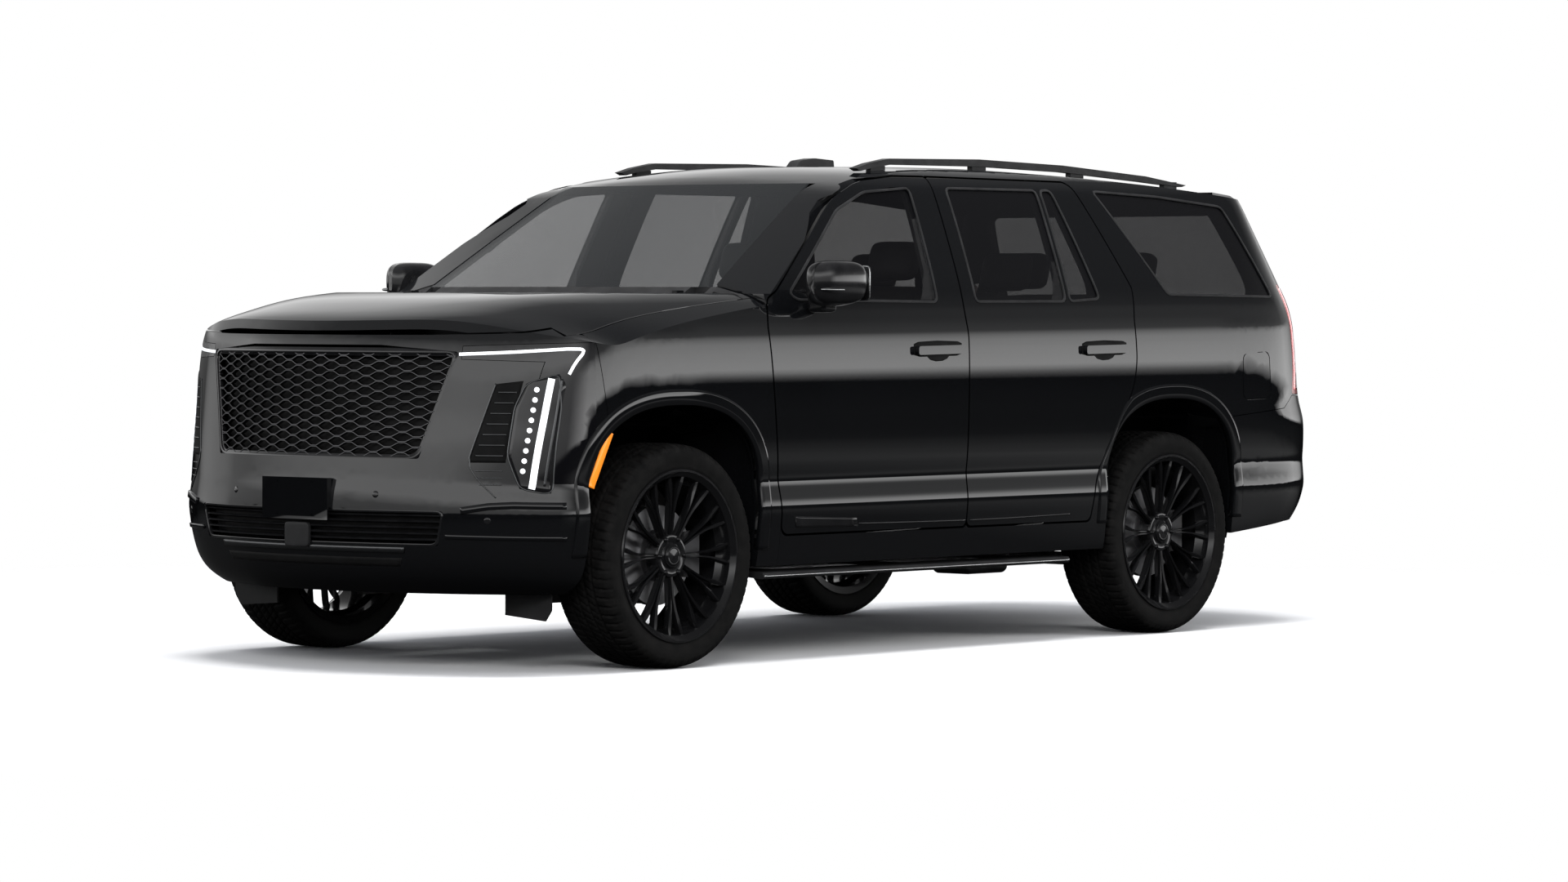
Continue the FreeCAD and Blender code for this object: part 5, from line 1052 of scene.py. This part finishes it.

# %% [markdown]
# The bumper's lower half is made of ledges and slots that lead air round the wheels. They
# are too fine for the CAD's large panels, so they lie on it as strips, plates and domes, and
# each slot's shade is painted on a black plate.

# %% Ledges, winglets, gloss bar, painted slot shade, parking sensors, plate tongue and air flaps
high_ledge, low_ledge = [(690, 600), (809, 622), (972, 618)], [(632, 506), (760, 504), (968, 500)]
ledges = [strip(on_nose, high_ledge, width=26, height=7, count=40, rounding=1),
          strip(on_nose, low_ledge, width=16, height=6, count=40, rounding=1)]
make_piece("bumper_ledges", join(ledges), body_paint, "vehicle_body", both=True)

whole_nose = edge_to_edge(on_nose)
bar_line = [(-470, 454), (0, 454), (470, 454)]
bar = strip(whole_nose, bar_line, width=22, height=6, count=80, rounding=1)
make_piece("bumper_bar", bar, dim_metal, "vehicle_body")

# Painted shade: a black plate stands in for the shade inside the slot
slot_sides = [(-440, 392), (-455, 424)], [(440, 392), (455, 424)]
slot_shade = patch(whole_nose, *slot_sides, lift=0.8, rows=4, columns=60)
make_piece("bumper_slot_shade", slot_shade, recess_shade, "vehicle_body")

SENSOR_WIDTHS, SENSOR_HEIGHTS = np.array([365.0, 776.0, 998.0]), np.array([655.0, 565.0, 575.0])
sensor_spots = zip(*on_nose(SENSOR_WIDTHS, SENSOR_HEIGHTS))
sensors = [dome(*spot, radius=13, height=2.5) for spot in sensor_spots]
make_piece("parking_sensors", join(sensors), gloss_trim, "vehicle_body", both=True)

tongue = block((0, -2674, 500), (62, 10, 46), flat=8, edge=8, rows=16, around=40)
make_piece("plate_tongue", tongue, rough_trim, "vehicle_body")

FLAP_FEET = ((600, 205), (800, 190), (830, 230))
FLAP_FRONT, FLAP_REAR, FLAP_TOP = -2196, -2188, 350
rings = np.array([[(x, FLAP_FRONT, low), (x, FLAP_FRONT, FLAP_TOP),
                   (x, FLAP_REAR, FLAP_TOP), (x, FLAP_REAR, low)] for x, low in FLAP_FEET], float)
flaps = rings, flipped(tube_faces(*rings.shape[:2]))
make_piece("air_flaps", flaps, rough_trim, "vehicle_body", smooth=False, both=True)

# %% [markdown]
# ## The tail
# The photograph does not show the tail, so what is here is usual for such a car: a hollow
# for the number plate, its shade painted on a black plate, a bar over it, and lit guides that
# climb the tail lamps. They are the same plates and strips as on the nose, laid on the tail's skin.

# %% Painted shade of the plate hollow, handle bar and lamp guides
whole_tail = edge_to_edge(on_tail)
hollow_sides = [(-300, 1050), (-290, 1205)], [(300, 1050), (290, 1205)]
# Painted shade: a black plate on the tail stands in for the hollow's shade
plate_shade = patch(whole_tail, *hollow_sides, lift=0.8, rows=8, columns=40)
make_piece("tailgate_plate_hollow_shade", plate_shade, recess_shade, "tailgate")
handle_line = [(-330, 1222), (0, 1224), (330, 1222)]
handle_bar = strip(whole_tail, handle_line, width=22, height=6, count=80, rounding=1)
make_piece("tailgate_handle_bar", handle_bar, dim_metal, "tailgate")

GUIDE = np.array([(2337, 1004), (2352, 1100), (2345, 1290), (2292, 1436)])
BAR_SHIFT = (40, 0)
guides = strip(on_side, GUIDE, width=13, height=2.5, rounding=1)
make_piece("tail_lamp_guides", guides, red_light, "vehicle_body", both=True)
lamp_bars = strip(on_side, GUIDE + BAR_SHIFT, width=9, height=2, rounding=1)
make_piece("tail_lamp_bars", lamp_bars, bright_metal, "vehicle_body", both=True)

# %% [markdown]
# ## Trim along the side
# A bright line runs along the foot of each side step. The steps, the rails on the roof and
# their arms are CAD pieces, and this thin strip is not, so it is swept along a straight path.

# %% Bright strips on the side steps
STEP_FRONT, STEP_REAR, STEP_SIDE, STEP_HEIGHT = -1205, 696, 1008, 327
y = np.linspace(STEP_FRONT, STEP_REAR, 90)
path = np.stack([STEP_SIDE + 0 * y, y, STEP_HEIGHT + 0 * y], axis=1)
outwards = np.tile([1.0, 0, 0], (len(y), 1))
strips = sweep(path, outwards, rounded_profile(width=10, height=4, sink=3))
make_piece("step_bright_strips", strips, bright_metal, "vehicle_body", both=True)

# %% [markdown]
# ## Arch lips
# Round each wheel opening runs a raised band. It ends in a crisp crease on its outer side
# and turns inwards round the tyre. A bevel on the panel could make it, but a CAD mesh is
# left alone, so the band is a piece of its own. Ahead of the rear wheel it narrows, because
# the rear door's edge crosses it there.

# %% Raised bands round the wheel openings
ARCHES = {"front": (-1706.0, 470.0, 340.0), "rear": (1390.0, 445.0, 335.0)}
ARCH_SPRING = 640.0
ARCH_POWER = 2.4
BAND_WIDTH = 60.0
BAND_SHARES = np.array([1.0, 0.93, 0.80, 0.45, 0.05, 0.0])
BAND_RISES = np.array([-2.0, 6.2, 7.0, 7.6, 6.6, 3.0])
LIP_DEPTH, ROOT_DEPTH = 26.0, 3.0
REAR_DOOR_EDGE = [(489, 832), (630, 860), (752, 926), (940, 1062), (1040, 1114), (1135, 1130)]
DOOR_GAP, DOOR_EDGE_TOP, NARROWEST = 8.0, 1100, 8


def arch_line(end, low, count=90):
    """The opening's edge: straight legs, then |y / half|^2.4 + |z / rise|^2.4 = 1."""
    middle, half, rise = ARCHES[end]
    t = np.linspace(0, math.pi, count)
    y = middle - half * np.sign(np.cos(t)) * np.abs(np.cos(t)) ** (2 / ARCH_POWER)
    z = ARCH_SPRING + rise * np.abs(np.sin(t)) ** (2 / ARCH_POWER)
    legs = np.linspace(low, ARCH_SPRING - 12, 8)
    y = np.concatenate([np.full(8, middle - half), y, np.full(8, middle + half)])
    z = np.concatenate([legs, z, legs[::-1]])
    return smooth_line(np.stack([y, z], axis=1), count + 16, 1)


def band(line, inner, outer):
    """A raised band beside a line: from inner to outer it rises 7 mm and falls at its crease.

    Each point is the skin at line + away * (inner + width * share), plus rise * outwards.
    At its inner edge it turns inwards as the lip round the tyre.
    """
    along = unit(np.gradient(line, axis=0))
    away = np.stack([-along[:, 1], along[:, 0]], axis=1)
    width = np.maximum(outer - inner, 3.0)
    place = line[:, None] + away[:, None] * (inner[:, None] + width[:, None] * BAND_SHARES)[..., None]
    skin_at, out = on_side(place[..., 0], place[..., 1])
    top = skin_at + BAND_RISES[:, None] * out
    back = top[:, -1:] - (LIP_DEPTH, 0, 0)
    root = skin_at[:, :1] - ROOT_DEPTH * out[:, :1]
    points = np.concatenate([top, back, root], axis=1)
    return points, tube_faces(*points.shape[:2])


line = arch_line("front", 430)
flat = np.zeros(len(line))
front_band = band(line, flat - 1.0, flat + BAND_WIDTH)
make_piece("front_arch_bands", front_band, body_paint, "vehicle_body", both=True)

line = arch_line("rear", 470)
edge_heights, edge_places = np.array(REAR_DOOR_EDGE, float).T
ahead = (line[:, 0] < ARCHES["rear"][0]) & (line[:, 1] < DOOR_EDGE_TOP)
reach = line[:, 0] - np.interp(line[:, 1], edge_heights, edge_places) - DOOR_GAP
steep = np.abs(unit(np.gradient(line, axis=0))[:, 1])
beside_door = np.clip(reach * steep + (1 - steep) * BAND_WIDTH, NARROWEST, BAND_WIDTH)
rear_band = band(line, flat - 1.0, np.where(ahead, beside_door, BAND_WIDTH))
make_piece("rear_arch_bands", rear_band, body_paint, "vehicle_body", both=True)

# %% [markdown]
# ## Seals, handles and mouldings
# Rubber seals hide the edges of the glass, behind each door handle black plates paint the
# shade of the hollow for the fingers, and low black mouldings protect the foot of the doors.
# All of them lie on the doors' skin and open with them, so each side gets a piece of its own,
# the right one as the mirror image of the left one.

# %% Window seals on each door and on the quarter window
FRONT_WINDOW = [(-1040, 1398), (-600, 1722), (-392, 1797), (-96, 1819), (-152, 1368), (-1000, 1372)]
REAR_WINDOW = [(91, 1370), (138, 1823), (728, 1826), (678, 1374)]
VENT_WINDOW = [(706, 1374), (756, 1826), (828, 1828), (910, 1386)]
QUARTER_WINDOW = [(1384, 1406), (1112, 1830), (1551, 1816), (1988, 1782), (2162, 1400)]


def make_pair(name, shape, material, body):
    """A piece on the left and its mirror image on the right, each on its own side's body."""
    for side, sign in SIDES.items():
        rider = body if body == "vehicle_body" else f"{body}_{side}"
        make_piece(f"{name}_{side}", handed(shape, sign), material, rider)


def seals(name, outlines, body):
    """Low strips along window outlines."""
    shape = join([rim_strip(on_side, outline, radius=26, width=11.0, height=2.2, sink=3.0)
                  for outline in outlines])
    make_pair(name, shape, rough_trim, body)


seals("front_window_seal", [FRONT_WINDOW], "door_front")
seals("rear_window_seals", [REAR_WINDOW, VENT_WINDOW], "door_rear")
seals("quarter_window_seal", [QUARTER_WINDOW], "vehicle_body")

# %% Painted shade behind each door handle: black plates for the hollow and for the scoop for the fingers
REAR_HANDLE_SHIFT = 1087
HANDLE_PLATE = ([(-326, 1203), (-300, 1212), (-180, 1217), (-50, 1214), (-26, 1206)],
                [(-326, 1160), (-290, 1153), (-60, 1157), (-26, 1166)], 0.8)
HANDLE_SCOOP = ([(-262, 1162), (-98, 1164)],
                [(-250, 1158), (-225, 1141), (-190, 1135), (-150, 1137), (-120, 1146), (-104, 1160)], 1.0)
for end, shift in (("front", 0), ("rear", REAR_HANDLE_SHIFT)):
    handle_shade_plates = join([patch(on_side, np.add(first, (shift, 0)), np.add(second, (shift, 0)), lift)
                    for first, second, lift in (HANDLE_PLATE, HANDLE_SCOOP)])
    make_pair(f"handle_hollow_{end}", handle_shade_plates, recess_shade, f"door_{end}")

# %% Mouldings along the foot of the doors
plate_lines = [(-1032, 550), (-668, 535)], [(-1024, 508), (-656, 503)]
front_line, rear_line = [(-650, 512), (-300, 508), (12, 506)], [(44, 506), (300, 507), (700, 513)]
front_foot = join([patch(on_side, *plate_lines, lift=3.0, rows=12, columns=6),
                   strip(on_side, front_line, width=7, height=2.5, count=40, rounding=1)])
rear_foot = strip(on_side, rear_line, width=7, height=2.5, count=40, rounding=1)
for side, sign in SIDES.items():
    for door, foot in (("door_front", front_foot), ("door_rear", rear_foot)):
        shape = handed(foot, sign)
        make_piece(f"{door}_moulding_{side}", shape, gloss_trim, f"{door}_{side}")

# %% [markdown]
# ## Door mirrors
# A mirror is a rounded shell on a foot, with a bright strip and the glass in it. Cutting
# corners off a cube would take many steps. Here a sphere becomes a rounded block when its
# coordinates are raised to a small power: the formula keeps the size and pushes the surface
# out towards the corners. Then the shell is tapered with two short terms.

# %% Door mirrors: a rounded shell on a foot, with a bright strip and the mirror itself
SHELL_INNER, SHELL_FOOT = 55, 30
SHELL_RISE, SHELL_TAPER = 14, 30
for side, sign in SIDES.items():
    low, high = [np.array(corner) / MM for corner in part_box(f"mirror_{side}")]
    inner, outer = sorted((abs(low[0]), abs(high[0])))
    shell_low = np.array([inner + SHELL_INNER, low[1], low[2] + SHELL_FOOT])
    shell_high = np.array([outer, high[1], high[2]])
    middle = (shell_low + shell_high) / 2
    half = (shell_high - shell_low) / 2 - 1
    points, faces = block(middle, half, flat=3.6, edge=3.4)
    share = (points - middle) / half
    points[:, 2] += SHELL_RISE * share[:, 0] * (share[:, 2] < 0)
    points[:, 0] -= SHELL_TAPER * np.maximum(0, -share[:, 1]) ** 2 * (share[:, 0] > 0)
    foot = block((inner + 50, middle[1] + 6, low[2] + 28), (48, 42, 26), rows=16, around=32)
    signal_place = (outer - 34, middle[1] - half[1] * 0.42, middle[2] - 26)
    signal = block(signal_place, (30, half[1] * 0.5, 8), flat=3, edge=3, rows=14, around=40)
    pane_place, pane_half = (middle[0], high[1] - 5, middle[2]), (half[0] * 0.84, 4, half[2] * 0.80)
    pane = block(pane_place, pane_half, flat=5, edge=8, rows=12, around=48)
    shell = join([(points, faces), foot])
    door = f"door_front_{side}"
    piece = make_piece(f"mirror_shell_{side}", handed(shell, sign), gloss_trim, door)
    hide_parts(f"mirror_{side}")
    make_piece(f"mirror_signal_{side}", handed(signal, sign), bright_metal, door)
    make_piece(f"mirror_pane_{side}", handed(pane, sign), bright_metal, door)

# %% [markdown]
# ## Seats
# The real seats are foam under tight leather, seen only through dark glass. A cloth
# simulation could swell them, but tight leather hardly folds, so each pad is a block that
# swells towards its middle by a formula. Bolsters rise along both sides, and two long seams
# and one cross seam are pressed in, as the stitching does in real leather.

# %% A padded block with bolsters and seams
LEAN = math.radians(16.0)
FLAT = np.eye(3)
LEANING = np.array([(1, 0, 0), (0, math.sin(LEAN), math.cos(LEAN)), (0, -math.cos(LEAN), math.sin(LEAN))])
CROWN = 0.10
SEAM_DEPTH, SEAM_WIDTH = 9, 7.0
CROSS_DEPTH, CROSS_WIDTH, CROSS_REACH = 7, 6.0, 0.52


def pad(centre, half, axes, bolster=0.0, seams=(), cross=()):
    """A padded block: its top swells by crown * (1 - x^2) (1 - y^2) and sinks at the seams.

    Places are shares of half the width and length. Each seam takes off
    depth * e^(-(distance / width)^2), and the bolsters add a smooth step near both sides.
    """
    points, faces = block((0, 0, 0), half, flat=5.0, edge=2.8, rows=64, around=120)
    across, along, up = (points / np.asarray(half, float)).T
    top = smooth_step(up, 0.0, 0.7)
    rise = CROWN * half[2] * (1 - across ** 2) * (1 - along ** 2)
    beside = smooth_step(np.abs(across), 0.50, 0.80)
    rise = rise + bolster * beside * (1 - smooth_step(np.abs(along), 0.75, 1.0))
    for place in seams:
        rise = rise - SEAM_DEPTH * np.exp(-((np.abs(across) - place) * half[0] / SEAM_WIDTH) ** 2)
    for place in cross:
        line = np.exp(-((along - place) * half[1] / CROSS_WIDTH) ** 2)
        rise = rise - CROSS_DEPTH * line * (np.abs(across) < CROSS_REACH)
    points = points + np.stack([0 * rise, 0 * rise, rise * top], axis=1)
    return points @ axes + np.asarray(centre, float), faces


print("seat backs lean by", round(math.degrees(LEAN)), "degrees")

# %% Seat cushions, backs, headrests and the stands under them
BENCH = 800
CUSHION_HALF_LENGTH, CUSHION_HALF_HEIGHT = 248, 70
BACK_HALF_THICKNESS = 56
HEADREST_HALF = (124, 80, 42)
BOLSTER, LONG_SEAMS = 14, (0.55,)
STAND_GAP, STAND_INSET, STAND_HALF_LENGTH = 140, 62, 186


def seat_pads(x, y, width, top, back, base):
    """The pads of one seat: cushion, back and headrests, and the plain stand under them."""
    def leaning(behind, height):
        """A place on the leaning part, from its pivot at the cushion's rear."""
        return np.array([x, y + 250, top - 60]) + behind * -LEANING[2] + height * LEANING[1]

    tall = (back + 100) / 2
    cushion_half = (width / 2 - 5, CUSHION_HALF_LENGTH, CUSHION_HALF_HEIGHT)
    cushion = pad((x, y - 5, top - 82), cushion_half, FLAT, BOLSTER, LONG_SEAMS, cross=(0.1, 0.62))
    rest_half = (width / 2 - 8, tall - 6, BACK_HALF_THICKNESS)
    rest = pad(leaning(15, tall - 42), rest_half, LEANING, BOLSTER, LONG_SEAMS, cross=(-0.35, 0.2, 0.62))
    places = (-0.25 * width, 0.25 * width) if width > BENCH else (0.0,)
    heads = [pad(leaning(12, back + 160) + (shift, 0, 0), HEADREST_HALF, LEANING) for shift in places]
    stand_top = top - STAND_GAP
    stand_half = (width / 2 - STAND_INSET, STAND_HALF_LENGTH, (stand_top - base) / 2 + 6)
    stand = block((x, y, (base + stand_top) / 2), stand_half, flat=8, edge=8, rows=10, around=40)
    return {"cushions": [cushion], "backs": [rest], "headrests": heads, "stands": [stand]}


SEAT_ROWS = {
    "front": [(400, -170, 540, 830, 640, 520), (-400, -170, 540, 830, 640, 520)],
    "middle": [(360, 636, 500, 830, 600, 520), (-360, 636, 500, 830, 600, 520)],
    "third": [(0, 1640, 1160, 960, 480, 690)],
}
STANDS_FOR = {"front": "front_seats", "middle": "rear_seats"}
for row_name, seats in SEAT_ROWS.items():
    pads = [seat_pads(*seat) for seat in seats]
    for kind in pads[0]:
        shape = join([one for seat in pads for one in seat[kind]])
        material, slot = (cabin_trim, "black_trim") if kind == "stands" else (seat_leather, "upholstery")
        piece = make_piece(f"{row_name}_seat_{kind}", shape, material, "vehicle_body")
        kind != "stands"
        if kind == "cushions" and row_name in STANDS_FOR:
            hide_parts(STANDS_FOR[row_name])

# %% [markdown]
# ## Studio
# The photograph has no room in it: the background is white, the floor only shows a soft
# shadow, and the black paint mirrors a bright wall above a dark horizon. A real room could
# be built round the car, but it would show in other views. Here a large floor disc fades out
# to the white world, and the world shows its gradient only to reflections.

# %% Floor disc with a fading edge
FLOOR_RADIUS, FLOOR_DEPTH = 16.0, -0.0005
FADE_RADIUS, FADE_WIDTH = 5.2, 1.6
DARK_FLOOR = (0.012, 0.012, 0.012)


def floor_disc(rings=40, around=96):
    """A disc of rings, r * (cos a, sin a), just under the tyres."""
    r = np.linspace(0.02, FLOOR_RADIUS, rings)[:, None]
    a = np.linspace(0, 2 * math.pi, around, endpoint=False)[None]
    points = np.stack([r * np.cos(a), r * np.sin(a), np.full((rings, around), FLOOR_DEPTH)], axis=-1)
    mesh = bpy.data.meshes.new("floor")
    faces = grid_faces(rings, around, False, True) + [list(range(around))]
    mesh.from_pydata(points.reshape(-1, 3), [], faces)
    floor = bpy.data.objects.new("floor", mesh)
    bpy.context.scene.collection.objects.link(floor)
    return floor


floor = floor_disc()
f = Finish("pale floor", Roughness=0.9)
x, y, z = f.axes()
distance = (x * x + y * y).math("SQRT")
seen = f.node("ShaderNodeLightPath", {}, [], "Is Camera Ray")
tone = f.noise(1.5, 2.0) * 0.02 + 0.96
shade = f.node("ShaderNodeCombineColor", {}, [tone, tone, tone])
f.set("Base Color", f.blend(seen, DARK_FLOOR, shade))
f.set("Alpha", 1.0 - distance.over(FADE_RADIUS, FADE_WIDTH))
floor.data.materials.append(f.material)
print("floor disc placed")

# %% [markdown]
# Black paint shows little of its own and much of its surroundings. So the world is white
# where the camera looks straight at it, soft grey light for everything dull, and a set of
# levels by height for reflections: one for what the side mirrors, one for the roof and the
# far side, and one for what lies ahead of the nose.


# %% The world: white to the camera, a horizon to reflections, soft grey to everything else
class Sky(Finish):
    """The same node helpers, working on the nodes of the world."""

    def __init__(self, world):
        world.use_nodes = True
        self.tree = world.node_tree
        self.tree.nodes.clear()

    def light(self, colour, strength=1.0):
        """A glow of one colour, or of a colour that changes with the direction."""
        return self.node("ShaderNodeBackground", {}, {"Color": colour, "Strength": strength})


ROOF_LEVELS = [(0.0, 0.002), (0.495, 0.004), (0.505, 0.12), (0.540, 0.2), (0.585, 1.0), (0.66, 0.5),
               (0.8, 0.15)]
SIDE_LEVELS = [(0.0, 0.25), (0.435, 0.22), (0.465, 0.03), (0.497, 0.004), (0.504, 2.1), (0.535, 1.6),
               (0.56, 0.3), (0.62, 0.1), (0.7, 0.05)]
NOSE_LEVELS = [(0.0, 0.004), (0.495, 0.010), (0.506, 0.4), (0.55, 0.5), (0.59, 1.3), (0.62, 1.3), (0.66, 0.8),
               (0.75, 0.2), (1.0, 0.1)]
WHITE, SOFT_GREY, SOFT_STRENGTH = (1.0, 1.0, 1.0, 1.0), (0.9, 0.93, 1.0, 1.0), 0.55
TURN_SOFTNESS = 0.2
world = bpy.data.worlds.new("studio")
bpy.context.scene.world = world
sky = Sky(world)
direction = sky.node("ShaderNodeTexCoord", {}, [], "Generated")
x, y, z = [sky.node("ShaderNodeSeparateXYZ", {}, [direction], name) for name in "XYZ"]
height = z * 0.5 + 0.5
beyond_right = (0.0 - x).over(0.0, TURN_SOFTNESS) * y.over(0.0, TURN_SOFTNESS)
ahead = (0.0 - y).over(0.0, TURN_SOFTNESS)
behind_sky = sky.blend(beyond_right, sky.ramp(height, SIDE_LEVELS), sky.ramp(height, ROOF_LEVELS))
mirrored_sky = sky.blend(ahead, behind_sky, sky.ramp(height, NOSE_LEVELS))
soft_sky = sky.light(SOFT_GREY, SOFT_STRENGTH)
glossy = sky.node("ShaderNodeLightPath", {}, [], "Is Glossy Ray")
camera_ray = sky.node("ShaderNodeLightPath", {}, [], "Is Camera Ray")
unseen = sky.node("ShaderNodeMixShader", {}, [glossy, soft_sky, sky.light(mirrored_sky)])
shown = sky.node("ShaderNodeMixShader", {}, [camera_ray, unseen, sky.light(WHITE)])
output = sky.tree.nodes.new("ShaderNodeOutputWorld")
sky.tree.links.new(shown.socket, output.inputs["Surface"])
bpy.context.scene.view_settings.view_transform = "Standard"
print("world ready")


# %% Soft lamps over the roof and beside the nose and the tail
def soft_lamp(name, place, aim, size, power):
    """A large square lamp that points from its place to what it lights."""
    data = bpy.data.lights.new(name, "AREA")
    data.shape = "RECTANGLE"
    data.size, data.size_y = size
    data.energy = power
    lamp = bpy.data.objects.new(name, data)
    lamp.location = place
    lamp.rotation_euler = (Vector(aim) - Vector(place)).to_track_quat("-Z", "Y").to_euler()
    lamp.visible_glossy = False
    bpy.context.scene.collection.objects.link(lamp)


soft_lamp("overhead", (0.5, -0.5, 7.5), aim=(0, 0, 0.8), size=(7.0, 4.0), power=1050)
soft_lamp("front_left", (6.5, -8.5, 4.5), aim=(0, -1.0, 0.8), size=(4.0, 3.0), power=500)
soft_lamp("rear_left", (9.0, 5.5, 4.0), aim=(0.5, 1.0, 0.9), size=(5.0, 2.5), power=380)
print("lamps placed")

# %% [markdown]
# ## Camera
# The photograph was taken from far away with a long lens: 40 degrees round from the nose
# and at about the bonnet's height. Those angles were worked out from the wheels and roof.
# A camera's own axes are right, up and back, so its matrix is those three directions.

# %% The photograph's camera
AZIMUTH, ELEVATION, ROLL = math.radians(40.306), math.radians(1.385), math.radians(0.234)
CAMERA_PLACE = (13.850, -16.232, 1.317)
FOCAL_LENGTH, SENSOR_WIDTH, FAR_CLIP = 120.25, 36.0, 200.0
back = Vector((math.sin(AZIMUTH) * math.cos(ELEVATION), -math.cos(AZIMUTH) * math.cos(ELEVATION),
               math.sin(ELEVATION)))
right = (-back).cross(Vector((0, 0, 1))).normalized()
up = right.cross(-back)
camera_right = math.cos(ROLL) * right + math.sin(ROLL) * up
camera_up = -math.sin(ROLL) * right + math.cos(ROLL) * up
camera_data = bpy.data.cameras.new("camera")
camera_data.lens = FOCAL_LENGTH
camera_data.sensor_width = SENSOR_WIDTH
camera_data.clip_end = FAR_CLIP
camera = bpy.data.objects.new("camera", camera_data)
turn = Matrix((camera_right, camera_up, back)).transposed().to_4x4()
camera.matrix_world = Matrix.Translation(CAMERA_PLACE) @ turn
bpy.context.scene.collection.objects.link(camera)
bpy.context.scene.camera = camera
print("camera at", tuple(round(v, 3) for v in camera.location))
